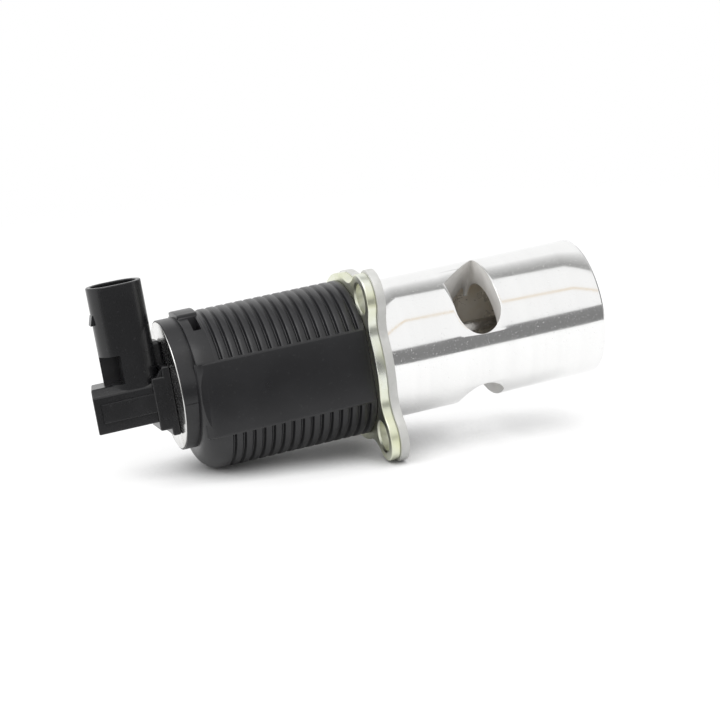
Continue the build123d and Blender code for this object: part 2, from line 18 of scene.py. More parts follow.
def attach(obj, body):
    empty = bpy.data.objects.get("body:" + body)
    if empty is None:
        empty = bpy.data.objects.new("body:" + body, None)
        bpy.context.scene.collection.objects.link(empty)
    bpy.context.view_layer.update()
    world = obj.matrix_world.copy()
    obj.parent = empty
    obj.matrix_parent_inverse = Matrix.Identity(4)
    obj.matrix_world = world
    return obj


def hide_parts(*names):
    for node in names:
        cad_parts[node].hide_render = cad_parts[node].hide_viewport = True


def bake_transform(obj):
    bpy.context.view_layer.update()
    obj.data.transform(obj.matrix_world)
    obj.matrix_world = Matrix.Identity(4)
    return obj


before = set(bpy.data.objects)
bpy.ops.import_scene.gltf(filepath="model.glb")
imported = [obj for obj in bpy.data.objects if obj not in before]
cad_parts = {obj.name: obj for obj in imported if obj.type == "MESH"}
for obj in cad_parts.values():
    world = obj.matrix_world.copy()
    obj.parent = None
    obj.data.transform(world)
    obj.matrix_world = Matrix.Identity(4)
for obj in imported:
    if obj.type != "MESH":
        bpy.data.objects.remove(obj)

log = logging.getLogger("valve")

MM = 0.001
Point = tuple[float, float, float]
Spot = tuple[float, float]
Colour = tuple[float, float, float]

VALVE_AXIS = (1.0, 0.0, 0.0)
CLEAR = 1.0             # how far a cutter stands past the face that it cuts


class Body(Enum):
    """CAD body that a piece rides on."""

    UNIT = "valve_unit"
    LIFTER = "lifter"
    SLIDER = "sensor_slider"


class Cut(Enum):
    """What a tool does to a piece."""

    AWAY = "DIFFERENCE"
    JOIN = "UNION"


class Side(Enum):
    """Side of the valve, as the sign of y."""

    NEAR = -1
    FAR = 1


class Slant(Enum):
    """End of a window at which its slanted edge lies."""

    HIGH = 1
    LOW = -1


# ---------------------------------------------------------------- bench work


def clear_bench() -> None:
    """Leave edit mode and deselect every object, so that an operator acts on new work alone."""
    if bpy.context.object and bpy.context.object.mode != "OBJECT":
        bpy.ops.object.mode_set(mode="OBJECT")
    bpy.ops.object.select_all(action="DESELECT")


def pick(piece: bpy.types.Object) -> None:
    """Make one piece the only selected and the active object.

    Args:
        piece: Object to work on.
    """
    clear_bench()
    piece.select_set(True)
    bpy.context.view_layer.objects.active = piece


def draw(points: Sequence[Point]) -> bpy.types.Object:
    """Draw a line through points by extruding one vertex from each to the next.

    Args:
        points: Places in millimetres. A closed line repeats its first point at its end.

    Returns:
        The line, selected all over and left in edit mode.
    """
    clear_bench()
    places = [Vector(point) * MM for point in points]
    bpy.ops.mesh.primitive_plane_add(size=MM, location=places[0])
    line = bpy.context.active_object
    bpy.ops.object.transform_apply(location=True, rotation=True, scale=True)
    bpy.ops.object.mode_set(mode="EDIT")
    bpy.ops.mesh.select_all(action="SELECT")
    bpy.ops.mesh.merge(type="CENTER")
    for here, there in zip(places, places[1:]):
        bpy.ops.mesh.extrude_vertices_move(TRANSFORM_OT_translate={"value": there - here})
    bpy.ops.mesh.select_all(action="SELECT")
    bpy.ops.mesh.remove_doubles(threshold=MM * 0.001)
    return line


def close_shape(piece: bpy.types.Object) -> bpy.types.Object:
    """Merge doubles, turn every face outwards and leave edit mode.

    Args:
        piece: Object in edit mode.

    Returns:
        The same object.
    """
    bpy.ops.mesh.select_all(action="SELECT")
    bpy.ops.mesh.remove_doubles(threshold=MM * 0.002)
    bpy.ops.mesh.normals_make_consistent(inside=False)
    bpy.ops.object.mode_set(mode="OBJECT")
    return piece


def turn(profile: Sequence[Spot], steps: int, centre: Spot = (0.0, 0.0)) -> bpy.types.Object:
    """Turn a profile about a line along X, as on a lathe.

    Args:
        profile: Pairs of x and radius. A ring repeats its first pair at its end.
        steps: Number of facets round the axis.
        centre: y and z of the axis.

    Returns:
        The turned solid.
    """
    piece = draw([(x, centre[0], centre[1] + radius) for x, radius in profile])
    middle = (0.0, centre[0] * MM, centre[1] * MM)
    bpy.ops.mesh.spin(steps=steps, angle=2 * pi, center=middle, axis=VALVE_AXIS)
    return close_shape(piece)


def push(outline: Sequence[Point], along: Sequence[float]) -> bpy.types.Object:
    """Fill a flat outline and extrude it into a solid.

    Args:
        outline: Corners in millimetres, in order, without a repeat.
        along: Extrusion in millimetres.

    Returns:
        The solid.
    """
    piece = draw(outline)
    bpy.ops.mesh.edge_face_add()
    bpy.ops.mesh.extrude_region_move(TRANSFORM_OT_translate={"value": Vector(along) * MM})
    return close_shape(piece)


def box(low: Point, high: Point) -> bpy.types.Object:
    """Add a block between two corners.

    Args:
        low: Lowest corner in millimetres.
        high: Highest corner in millimetres.

    Returns:
        The block.
    """
    return push([(low[0], low[1], low[2]), (low[0], high[1], low[2]), (low[0], high[1], high[2]),
                 (low[0], low[1], high[2])], (high[0] - low[0], 0, 0))


def apply(piece: bpy.types.Object, kind: str, **settings: object) -> bpy.types.Object:
    """Add a modifier to a piece and apply it.

    Args:
        piece: Object to change.
        kind: Modifier type.
        **settings: The modifier's own properties.

    Returns:
        The same object.
    """
    pick(piece)
    step = piece.modifiers.new(kind.title(), kind)
    for name, value in settings.items():
        setattr(step, name, value)
    bpy.ops.object.modifier_apply(modifier=step.name)
    return piece


def soften(piece: bpy.types.Object, width: float, segments: int = 2, angle: float = 35.0) -> bpy.types.Object:
    """Round a piece's edges.

    Args:
        piece: Object to change.
        width: Width of the rounding in millimetres.
        segments: Facets across the rounding.
        angle: Edges flatter than this many degrees stay.

    Returns:
        The same object.
    """
    return apply(piece, "BEVEL", width=width * MM, segments=segments, limit_method="ANGLE",
                 angle_limit=radians(angle), use_clamp_overlap=False)


def carve(piece: bpy.types.Object, tools: Iterable[bpy.types.Object],
          cut: Cut = Cut.AWAY) -> bpy.types.Object:
    """Cut tools out of a piece, or join them to it, and throw the tools away.

    Args:
        piece: Object to change.
        tools: Closed solids.
        cut: Whether the tools are cut away or joined on.

    Returns:
        The same object.
    """
    for tool in tools:
        apply(piece, "BOOLEAN", operation=cut.value, object=tool, solver="MANIFOLD")
        bpy.data.objects.remove(tool)
    pick(piece)
    bpy.ops.object.mode_set(mode="EDIT")
    bpy.ops.mesh.select_all(action="SELECT")
    bpy.ops.mesh.remove_doubles(threshold=MM * 0.004)
    bpy.ops.object.mode_set(mode="OBJECT")
    return piece


def weld(piece: bpy.types.Object, tools: Iterable[bpy.types.Object]) -> bpy.types.Object:
    """Join solids to a piece as one skin."""
    return carve(piece, tools, Cut.JOIN)


def arc(centre: Spot, radius: float, start: float, end: float, count: int) -> list[Spot]:
    """Places along an arc, both ends included.

    Args:
        centre: Centre of the arc.
        radius: Radius.
        start: First angle in degrees.
        end: Last angle in degrees.
        count: Number of places.

    Returns:
        The places in order.
    """
    angles = [radians(start + (end - start) * index / (count - 1)) for index in range(count)]
    return [(centre[0] + radius * cos(angle), centre[1] + radius * sin(angle)) for angle in angles]


def round_off(before: Spot, corner: Spot, after: Spot, radius: float, count: int = 7) -> list[Spot]:
    """Places along the rounding of a corner.

    Args:
        before: Place on the line into the corner.
        corner: The corner.
        after: Place on the line out of it.
        radius: Radius of the rounding.
        count: Number of places.

    Returns:
        The places in order.
    """
    middle = Vector(corner)
    back, onward = (Vector(before) - middle).normalized(), (Vector(after) - middle).normalized()
    half = back.angle(onward) / 2
    centre = middle + (back + onward).normalized() * radius / sin(half)
    first, last = middle + back * radius / tan(half), middle + onward * radius / tan(half)
    start = degrees(atan2(first.y - centre.y, first.x - centre.x))
    swing = (degrees(atan2(last.y - centre.y, last.x - centre.x)) - start + 180) % 360 - 180
    return arc((centre.x, centre.y), radius, start, start + swing, count)


def slot_outline(centre: Spot, width: float, depth: float, count: int = 24) -> list[Spot]:
    """Outline of a slot with round ends, long way along the first axis.

    Args:
        centre: Middle of the slot.
        width: Overall length.
        depth: Overall width, which is also the ends' diameter.
        count: Places on each round end.

    Returns:
        The places in order.
    """
    reach, radius = (width - depth) / 2, depth / 2
    return (arc((centre[0] + reach, centre[1]), radius, -90, 90, count)
            + arc((centre[0] - reach, centre[1]), radius, 90, 270, count))


def finish_piece(piece: bpy.types.Object, name: str, body: Body | None, nodes: Sequence[str],
                 finishes: Sequence[bpy.types.Material], sharp: float = 32.0,
                 flats: bool = False) -> bpy.types.Object:
    """Name, dress and smooth a piece, and put it in the place of its CAD nodes.

    Args:
        piece: Finished mesh.
        name: Piece name.
        body: CAD body it rides on, or None to leave it unattached.
        nodes: CAD nodes it stands for.
        finishes: Materials, in the order of the mesh's material numbers.
        sharp: Edges steeper than this many degrees stay crisp.
        flats: Keep large flat faces flat up to their rounded edges.

    Returns:
        The same object.
    """
    pick(piece)
    piece.name = name
    piece.data.name = name
    bpy.ops.object.transform_apply(location=True, rotation=True, scale=True)
    bpy.ops.object.shade_smooth_by_angle(angle=radians(sharp))
    if flats:
        apply(piece, "WEIGHTED_NORMAL", keep_sharp=True)
    while len(piece.data.materials) < len(finishes):
        piece.data.materials.append(None)
    for index, finish in enumerate(finishes):
        piece.data.materials[index] = finish
    if body:
        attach(piece, body.value)
    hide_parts(*nodes)
    log.info("%s: %d faces in place of %s", name, len(piece.data.polygons), ", ".join(nodes))
    return piece


def paint_faces(piece: bpy.types.Object, number: int, wanted: Callable[[Vector, Vector], bool]) -> None:
    """Give some of a piece's faces another of its materials.

    Args:
        piece: Object to change.
        number: Material number.
        wanted: Says from a face's centre in millimetres and its normal whether it is one of them.
    """
    while len(piece.data.materials) <= number:
        piece.data.materials.append(None)
    for face in piece.data.polygons:
        if wanted(face.center / MM, face.normal):
            face.material_index = number


# ---------------------------------------------------------------- shared surface effects


class NodeBoard:
    """Node tree under construction, with short ways to add and join nodes."""

    def __init__(self, tree: bpy.types.NodeTree) -> None:
        """Start on an empty tree.

        Args:
            tree: Tree of a material or a node group.
        """
        self.tree = tree
        self.column = 0

    def add(self, kind: str, inputs: dict[str | int, object] | None = None,
            **settings: object) -> bpy.types.Node:
        """Add a node.

        Args:
            kind: Node type without its ShaderNode prefix.
            inputs: Values or sockets for its inputs, by name or number.
            **settings: The node's own properties.

        Returns:
            The node.
        """
        node = self.tree.nodes.new("ShaderNode" + kind)
        node.location = (200 * self.column, 0)
        self.column += 1
        for name, value in settings.items():
            setattr(node, name, value)
        for name, value in (inputs or {}).items():
            if isinstance(value, bpy.types.NodeSocket):
                self.tree.links.new(value, node.inputs[name])
            else:
                node.inputs[name].default_value = value
        return node

    def sum(self, operation: str, *values: object) -> bpy.types.NodeSocket:
        """Work out a number with a Math node.

        Args:
            operation: Math operation.
            *values: Numbers or sockets.

        Returns:
            The result's socket.
        """
        return self.add("Math", dict(enumerate(values)), operation=operation).outputs[0]

    def spread(self, value: object, low: float, high: float, to_low: float = 0.0,
               to_high: float = 1.0) -> bpy.types.NodeSocket:
        """Stretch a range of values onto another, clamped.

        Args:
            value: Socket to stretch.
            low: Value that becomes to_low.
            high: Value that becomes to_high.
            to_low: Result at low.
            to_high: Result at high.

        Returns:
            The result's socket.
        """
        return self.add("MapRange", {0: value, 1: low, 2: high, 3: to_low, 4: to_high}).outputs[0]

    def tint(self, share: object, first: object, second: object) -> bpy.types.NodeSocket:
        """Mix two colours.

        Args:
            share: 0 for the first colour, 1 for the second.
            first: Colour or socket.
            second: Colour or socket.

        Returns:
            The mixed colour's socket.
        """
        both = [(*value, 1.0) if isinstance(value, tuple) else value for value in (first, second)]
        node = self.add("Mix", {0: share, 6: both[0], 7: both[1]}, data_type="RGBA")
        return node.outputs[2]


class SurfaceEffect:
    """Shader node group that several finishes share, built the first time it is asked for."""

    label = ""
    inputs: tuple[tuple[str, float], ...] = ()
    outputs: tuple[str, ...] = ()

    @classmethod
    def group(cls) -> bpy.types.NodeTree:
        """Find the group's node tree, or build it.

        Returns:
            The node tree.
        """
        found = bpy.data.node_groups.get(cls.label)
        if found:
            return found
        tree = bpy.data.node_groups.new(cls.label, "ShaderNodeTree")
        for name, value in cls.inputs:
            socket = tree.interface.new_socket(name, in_out="INPUT", socket_type="NodeSocketFloat")
            socket.default_value = value
        for name in cls.outputs:
            tree.interface.new_socket(name, in_out="OUTPUT", socket_type="NodeSocketFloat")
        board = NodeBoard(tree)
        given = tree.nodes.new("NodeGroupInput")
        result = tree.nodes.new("NodeGroupOutput")
        for name, socket in cls.shape(board, given).items():
            tree.links.new(socket, result.inputs[name])
        return tree

    @classmethod
    def shape(cls, board: NodeBoard, given: bpy.types.Node) -> dict[str, bpy.types.NodeSocket]:
        """Build the effect's nodes.

        Args:
            board: Board on the group's tree.
            given: The group's inputs.

        Returns:
            Sockets for the outputs, by name.
        """
        raise NotImplementedError

    @classmethod
    def place(cls, board: NodeBoard, **values: float) -> bpy.types.Node:
        """Place the effect in a material.

        Args:
            board: Board on the material's tree.
            **values: Values for the group's inputs, with _ for a space.

        Returns:
            The group node.
        """
        node = board.add("Group", node_tree=cls.group())
        for name, value in values.items():
            node.inputs[name.replace("_", " ")].default_value = value
        return node


class MouldGrain(SurfaceEffect):
    """Fine spark-eroded grain of a moulding, with slow mottling in its sheen."""

    label = "Mould grain"
    inputs = (("Grain per metre", 3000.0), ("Mottle per metre", 90.0))
    outputs = ("Height", "Mottle")

    @classmethod
    def shape(cls, board: NodeBoard, given: bpy.types.Node) -> dict[str, bpy.types.NodeSocket]:
        """Build fine noise for the height and coarse noise for the mottling.

        Args:
            board: Board on the group's tree.
            given: The group's inputs.

        Returns:
            Sockets for the outputs, by name.
        """
        place = board.add("TexCoord").outputs["Object"]
        fine = board.add("TexNoise", {"Vector": place, "Scale": given.outputs[0], "Detail": 3.0})
        coarse = board.add("TexNoise", {"Vector": place, "Scale": given.outputs[1], "Detail": 4.0,
                                        "Roughness": 0.6})
        return {"Height": fine.outputs[0], "Mottle": board.spread(coarse.outputs[0], 0.3, 0.7)}


class TurningMarks(SurfaceEffect):
    """Fine rings that a lathe tool leaves round the valve axis, on barrels and faces alike."""

    label = "Turning marks"
    inputs = (("Rings per metre", 4000.0), ("Bands per metre", 120.0))
    outputs = ("Height", "Band")

    @classmethod
    def shape(cls, board: NodeBoard, given: bpy.types.Node) -> dict[str, bpy.types.NodeSocket]:
        """Build one-dimensional noises over the distance travelled by the tool.

        Args:
            board: Board on the group's tree.
            given: The group's inputs.

        Returns:
            Sockets for the outputs, by name.
        """
        place = board.add("TexCoord").outputs["Object"]
        parts = board.add("SeparateXYZ", {0: place}).outputs
        radius = board.sum("SQRT", board.sum("ADD", board.sum("MULTIPLY", parts[1], parts[1]),
                                             board.sum("MULTIPLY", parts[2], parts[2])))
        travel = board.sum("ADD", parts[0], radius)
        rings = board.add("TexNoise", {"W": board.sum("MULTIPLY", travel, given.outputs[0]), "Scale": 1.0,
                                       "Detail": 2.0}, noise_dimensions="1D")
        bands = board.add("TexNoise", {"W": board.sum("MULTIPLY", travel, given.outputs[1]), "Scale": 1.0,
                                       "Detail": 3.0}, noise_dimensions="1D")
        return {"Height": rings.outputs[0], "Band": bands.outputs[0]}


class Smudges(SurfaceEffect):
    """Slow clouds from handling, oil and dust, for roughness and tint."""

    label = "Smudges"
    inputs = (("Clouds per metre", 45.0), ("Specks per metre", 900.0))
    outputs = ("Cloud", "Speck")

    @classmethod
    def shape(cls, board: NodeBoard, given: bpy.types.Node) -> dict[str, bpy.types.NodeSocket]:
        """Build coarse clouds and sparse specks.

        Args:
            board: Board on the group's tree.
            given: The group's inputs.

        Returns:
            Sockets for the outputs, by name.
        """
        place = board.add("TexCoord").outputs["Object"]
        clouds = board.add("TexNoise", {"Vector": place, "Scale": given.outputs[0], "Detail": 5.0,
                                        "Distortion": 0.6})
        specks = board.add("TexNoise", {"Vector": place, "Scale": given.outputs[1], "Detail": 2.0})
        return {"Cloud": board.spread(clouds.outputs[0], 0.3, 0.7),
                "Speck": board.spread(specks.outputs[0], 0.64, 0.74)}


class Scuffs(SurfaceEffect):
    """Few pale rubs, longer along the valve than across it."""

    label = "Scuffs"
    inputs = (("Rubs per metre", 42.0), ("Stretch", 0.4))
    outputs = ("Mask",)

    @classmethod
    def shape(cls, board: NodeBoard, given: bpy.types.Node) -> dict[str, bpy.types.NodeSocket]:
        """Build sparse islands of a stretched noise, broken up by a finer one.

        Args:
            board: Board on the group's tree.
            given: The group's inputs.

        Returns:
            Sockets for the outputs, by name.
        """
        parts = board.add("SeparateXYZ", {0: board.add("TexCoord").outputs["Object"]}).outputs
        drawn = board.add("CombineXYZ", {0: board.sum("MULTIPLY", parts[0], given.outputs[1]), 1: parts[1],
                                         2: parts[2]}).outputs[0]
        islands = board.add("TexNoise", {"Vector": drawn, "Scale": given.outputs[0], "Detail": 2.0})
        breaks = board.add("TexNoise", {"Vector": drawn, "Scale": 1600.0, "Detail": 3.0})
        return {"Mask": board.sum("MULTIPLY", board.spread(islands.outputs[0], 0.70, 0.76),
                                  board.spread(breaks.outputs[0], 0.42, 0.60))}


# ---------------------------------------------------------------- finishes


def start_material(name: str) -> tuple[bpy.types.Material, NodeBoard, bpy.types.Node]:
    """Make a material with one shader.

    Args:
        name: Material name.

    Returns:
        The material, the board on its tree and its Principled shader.
    """
    material = bpy.data.materials.new(name)
    material.use_nodes = True
    material.node_tree.nodes.clear()
    board = NodeBoard(material.node_tree)
    shader = board.add("BsdfPrincipled")
    board.add("OutputMaterial", {"Surface": shader.outputs[0]})
    return material, board, shader


def seen_rays(board: NodeBoard) -> bpy.types.NodeSocket:
    """Tell the rays that show a surface, straight, in a mirror or through glass, from those that light.

    Args:
        board: Board on the tree of a material or of the world.

    Returns:
        Socket that is 1 for a camera, glossy or transmission ray.
    """
    path = board.add("LightPath").outputs
    mirror = board.sum("MAXIMUM", path["Is Glossy Ray"], path["Is Transmission Ray"])
    return board.sum("MAXIMUM", path["Is Camera Ray"], mirror)


def emboss(board: NodeBoard, shader: bpy.types.Node, height: bpy.types.NodeSocket, depth: float,
           strength: float = 1.0) -> None:
    """Feed a height to a shader's normal.

    Args:
        board: Board on the material's tree.
        shader: Shader whose normal it feeds.
        height: Height from 0 to 1.
        depth: Relief in millimetres.
        strength: Strength of the relief.
    """
    bump = board.add("Bump", {"Height": height, "Distance": depth * MM, "Strength": strength})
    board.tree.links.new(bump.outputs[0], shader.inputs["Normal"])


@dataclass(frozen=True)
class MouldedPlastic:
    """Glass-filled nylon moulding."""

    name: str
    colour: Colour
    dust: Colour
    roughness: float = 0.30
    specular: float = 0.5
    scuffs: float = 0.0
    grain_depth: float = 0.012
    grain_per_metre: float = 3000.0

    def material(self) -> bpy.types.Material:
        """Build the material, with grain, mottled sheen and a trace of dust.

        Returns:
            The material.
        """
        material, board, shader = start_material(self.name)
        grain = MouldGrain.place(board, Grain_per_metre=self.grain_per_metre)
        marks = Smudges.place(board)
        base = board.tint(grain.outputs["Mottle"], self.colour, tuple(1.4 * c for c in self.colour))
        dusty = board.tint(board.sum("MULTIPLY", marks.outputs["Speck"], 0.12), base, self.dust)
        scuff = board.sum("MULTIPLY", Scuffs.place(board).outputs["Mask"], self.scuffs)
        board.tree.links.new(board.tint(scuff, dusty, self.dust), shader.inputs["Base Color"])
        cloudy = board.spread(marks.outputs["Cloud"], 0.0, 1.0, self.roughness - 0.03, self.roughness + 0.06)
        rough = board.sum("ADD", cloudy, board.sum("MULTIPLY", scuff, 0.2))
        board.tree.links.new(rough, shader.inputs["Roughness"])
        shader.inputs["Specular IOR Level"].default_value = self.specular
        emboss(board, shader, grain.outputs["Height"], self.grain_depth)
        return material


@dataclass(frozen=True)
class TurnedMetal:
    """Metal with lathe marks round the valve axis."""

    name: str
    colour: Colour
    shade: Colour
    roughness: float = 0.2
    ring_depth: float = 0.001
    rings_per_metre: float = 4000.0

    def material(self) -> bpy.types.Material:
        """Build the material, with rings in its relief and bands in its sheen.

        Returns:
            The material.
        """
        material, board, shader = start_material(self.name)
        rings = TurningMarks.place(board, Rings_per_metre=self.rings_per_metre)
        marks = Smudges.place(board, Specks_per_metre=2200.0)
        colour = board.tint(board.spread(rings.outputs["Band"], 0.3, 0.7), self.colour, self.shade)
        board.tree.links.new(colour, shader.inputs["Base Color"])
        sheen = board.sum("ADD", board.spread(rings.outputs["Band"], 0.25, 0.75, -0.02, 0.02),
                          board.spread(marks.outputs["Cloud"], 0.0, 1.0, self.roughness - 0.02,
                                       self.roughness + 0.05))
        speckled = board.sum("ADD", sheen, board.sum("MULTIPLY", marks.outputs["Speck"], 0.35))
        board.tree.links.new(speckled, shader.inputs["Roughness"])
        shader.inputs["Metallic"].default_value = 1.0
        emboss(board, shader, rings.outputs["Height"], self.ring_depth)
        return material


@dataclass(frozen=True)
class CastMetal:
    """Cast or milled metal without a direction."""

    name: str
    colour: Colour
    stain: Colour
    roughness: float = 0.4
    pit_depth: float = 0.02
    pits_per_metre: float = 2200.0
    metallic: float = 1.0

    def material(self) -> bpy.types.Material:
        """Build the material, with a pitted relief and soft stains.

        Returns:
            The material.
        """
        material, board, shader = start_material(self.name)
        grain = MouldGrain.place(board, Grain_per_metre=self.pits_per_metre, Mottle_per_metre=160.0)
        marks = Smudges.place(board, Clouds_per_metre=120.0)
        colour = board.tint(board.sum("MULTIPLY", marks.outputs["Cloud"], grain.outputs["Mottle"]),
                            self.colour, self.stain)
        board.tree.links.new(colour, shader.inputs["Base Color"])
        rough = board.spread(grain.outputs["Mottle"], 0.0, 1.0, self.roughness - 0.05, self.roughness + 0.08)
        board.tree.links.new(rough, shader.inputs["Roughness"])
        shader.inputs["Metallic"].default_value = self.metallic
        emboss(board, shader, grain.outputs["Height"], self.pit_depth)
        return material


@dataclass(frozen=True)
class PassivatedZinc:
    """Zinc-plated steel with a clear passivation that clouds to yellow and olive."""

    name: str
    colour: Colour
    yellow: Colour
    olive: Colour
    roughness: float = 0.3

    def material(self) -> bpy.types.Material:
        """Build the material, with two clouds of tint over a rolled grain.

        Returns:
            The material.
        """
        material, board, shader = start_material(self.name)
        grain = MouldGrain.place(board, Grain_per_metre=1800.0, Mottle_per_metre=110.0)
        marks = Smudges.place(board, Clouds_per_metre=70.0)
        tinted = board.tint(board.sum("MULTIPLY", marks.outputs["Cloud"], 0.75), self.colour, self.yellow)
        clouded = board.tint(board.sum("MULTIPLY", grain.outputs["Mottle"], 0.45), tinted, self.olive)
        board.tree.links.new(clouded, shader.inputs["Base Color"])
        rough = board.spread(marks.outputs["Cloud"], 0.0, 1.0, self.roughness - 0.06, self.roughness + 0.1)
        board.tree.links.new(rough, shader.inputs["Roughness"])
        shader.inputs["Metallic"].default_value = 1.0
        emboss(board, shader, grain.outputs["Height"], 0.01)
        return material


@dataclass(frozen=True)
class WireWinding:
    """Enamelled copper wire laid in turns along the valve axis."""

    name: str
    colour: Colour
    gap_shade_and_tone: Colour
    turns_per_metre: float = 2400.0

    def material(self) -> bpy.types.Material:
        """Build the material, with one round ridge for each turn of wire and painted shade in the crease
        between turns.

        Returns:
            The material.
        """
        material, board, shader = start_material(self.name)
        place = board.add("TexCoord").outputs["Object"]
        travel = board.sum("MULTIPLY", board.add("SeparateXYZ", {0: place}).outputs[0], self.turns_per_metre)
        ridge = board.sum("SINE", board.sum("MULTIPLY", board.sum("FRACT", travel), pi))
        marks = Smudges.place(board)
        copper = board.tint(board.sum("MULTIPLY", marks.outputs["Cloud"], 0.4), self.colour, self.gap_shade_and_tone)
        # Painted shade: the crease between turns takes the dark colour, which also tints the copper in random
        # clouds.
        board.tree.links.new(board.tint(board.spread(ridge, 0.0, 0.5), self.gap_shade_and_tone, copper),
                             shader.inputs["Base Color"])
        board.tree.links.new(board.spread(marks.outputs["Cloud"], 0.0, 1.0, 0.25, 0.4),
                             shader.inputs["Roughness"])
        shader.inputs["Metallic"].default_value = 0.8
        emboss(board, shader, ridge, 0.15)
        return material


@dataclass(frozen=True)
class Rubber:
    """Moulded elastomer."""

    name: str
    colour: Colour
    bloom: Colour

    def material(self) -> bpy.types.Material:
        """Build the material, matt, with a pale bloom in clouds.

        Returns:
            The material.
        """
        material, board, shader = start_material(self.name)
        grain = MouldGrain.place(board, Grain_per_metre=2600.0, Mottle_per_metre=200.0)
        board.tree.links.new(board.tint(board.sum("MULTIPLY", grain.outputs["Mottle"], 0.5), self.colour,
                                        self.bloom), shader.inputs["Base Color"])
        board.tree.links.new(board.spread(grain.outputs["Mottle"], 0.0, 1.0, 0.6, 0.75),
                             shader.inputs["Roughness"])
        emboss(board, shader, grain.outputs["Height"], 0.02)
        return material


class Finishes:
    """Every material of the valve, each built once."""

    def __init__(self) -> None:
        """Build the materials."""
        self.housing = MouldedPlastic("Housing nylon", (0.011, 0.011, 0.0125), (0.10, 0.10, 0.10),
                                      scuffs=0.8).material()
        self.cover = MouldedPlastic("Cover nylon", (0.009, 0.009, 0.010), (0.11, 0.11, 0.11), 0.25).material()
        self.aluminium = TurnedMetal("Machined aluminium", (0.93, 0.93, 0.925), (0.90, 0.90, 0.895), 0.09,
                                     ring_depth=0.0002).material()
        self.flange_edge = CastMetal("Sawn aluminium edge", (0.72, 0.72, 0.70), (0.58, 0.58, 0.55), 0.5,
                                     metallic=0.35).material()
        self.milled = CastMetal("Milled window wall", (0.88, 0.87, 0.85), (0.74, 0.72, 0.69), 0.45, 0.01,
                                metallic=0.2).material()
        self.chamber = CastMetal("Gas chamber wall", (0.80, 0.76, 0.69), (0.72, 0.63, 0.49), 0.28, 0.003,
                                 metallic=0.35).material()
        self.plate = PassivatedZinc("Passivated flange plate", (0.84, 0.86, 0.82), (0.84, 0.84, 0.56),
                                    (0.62, 0.66, 0.40), 0.32).material()
        self.bright_steel = CastMetal("Bright steel disc", (0.80, 0.80, 0.79), (0.62, 0.61, 0.58), 0.22,
                                      0.004).material()
        self.ground_steel = TurnedMetal("Ground steel", (0.62, 0.61, 0.60), (0.48, 0.47, 0.46),
                                        0.18).material()
        self.seat_steel = TurnedMetal("Turned stainless steel", (0.58, 0.57, 0.55), (0.42, 0.40, 0.38), 0.24,
                                      0.002).material()
        self.magnet_iron = CastMetal("Plated magnet iron", (0.50, 0.50, 0.47), (0.38, 0.37, 0.32),
                                     0.35).material()
        self.brass = TurnedMetal("Brass sleeve", (0.70, 0.52, 0.25), (0.55, 0.40, 0.18), 0.25).material()
        self.bronze = CastMetal("Sintered bronze", (0.52, 0.34, 0.16), (0.30, 0.19, 0.09), 0.5,
                                0.05).material()
        self.spring_wire = CastMetal("Spring wire", (0.46, 0.45, 0.44), (0.30, 0.29, 0.28), 0.3,
                                     0.004).material()
        self.tin = CastMetal("Tinned contact", (0.72, 0.71, 0.68), (0.58, 0.57, 0.53), 0.3, 0.004).material()
        self.screw_zinc = PassivatedZinc("Plated screw", (0.60, 0.61, 0.58), (0.54, 0.50, 0.30),
                                         (0.34, 0.34, 0.22)).material()
        self.winding = WireWinding("Enamelled copper winding", (0.55, 0.22, 0.09),
                                   (0.12, 0.04, 0.02)).material()
        self.bobbin = MouldedPlastic("Bobbin nylon", (0.34, 0.33, 0.29), (0.5, 0.49, 0.45)).material()
        self.carriage = MouldedPlastic("Carriage acetal", (0.55, 0.54, 0.50), (0.7, 0.69, 0.66)).material()
        self.board = CastMetal("Ceramic resistor board", (0.05, 0.16, 0.09), (0.03, 0.09, 0.05), 0.3, 0.004,
                               metallic=0.0).material()
        self.seal = Rubber("Fluorocarbon seal", (0.02, 0.02, 0.022), (0.06, 0.06, 0.06)).material()

    def inside(self) -> dict[str, bpy.types.Material]:
        """Name the finish of each CAD node that keeps its own shape.

        Returns:
            Materials by node.
        """
        return {
            "body_screws": self.screw_zinc, "body_seal": self.seal, "yoke_case": self.magnet_iron,
            "yoke_cap": self.magnet_iron, "pole_piece": self.magnet_iron, "coil_bobbin": self.bobbin,
            "coil_winding": self.winding, "coil_leads": self.winding, "guide_sleeve": self.brass,
            "armature": self.magnet_iron, "stem_guide": self.bronze, "stem_seal": self.seal,
            "spring_retainer": self.magnet_iron, "cover_seal": self.seal, "sensor_board": self.board,
            "wiper_carriage": self.carriage, "sensor_plunger": self.carriage,
        }


# ---------------------------------------------------------------- flange outline


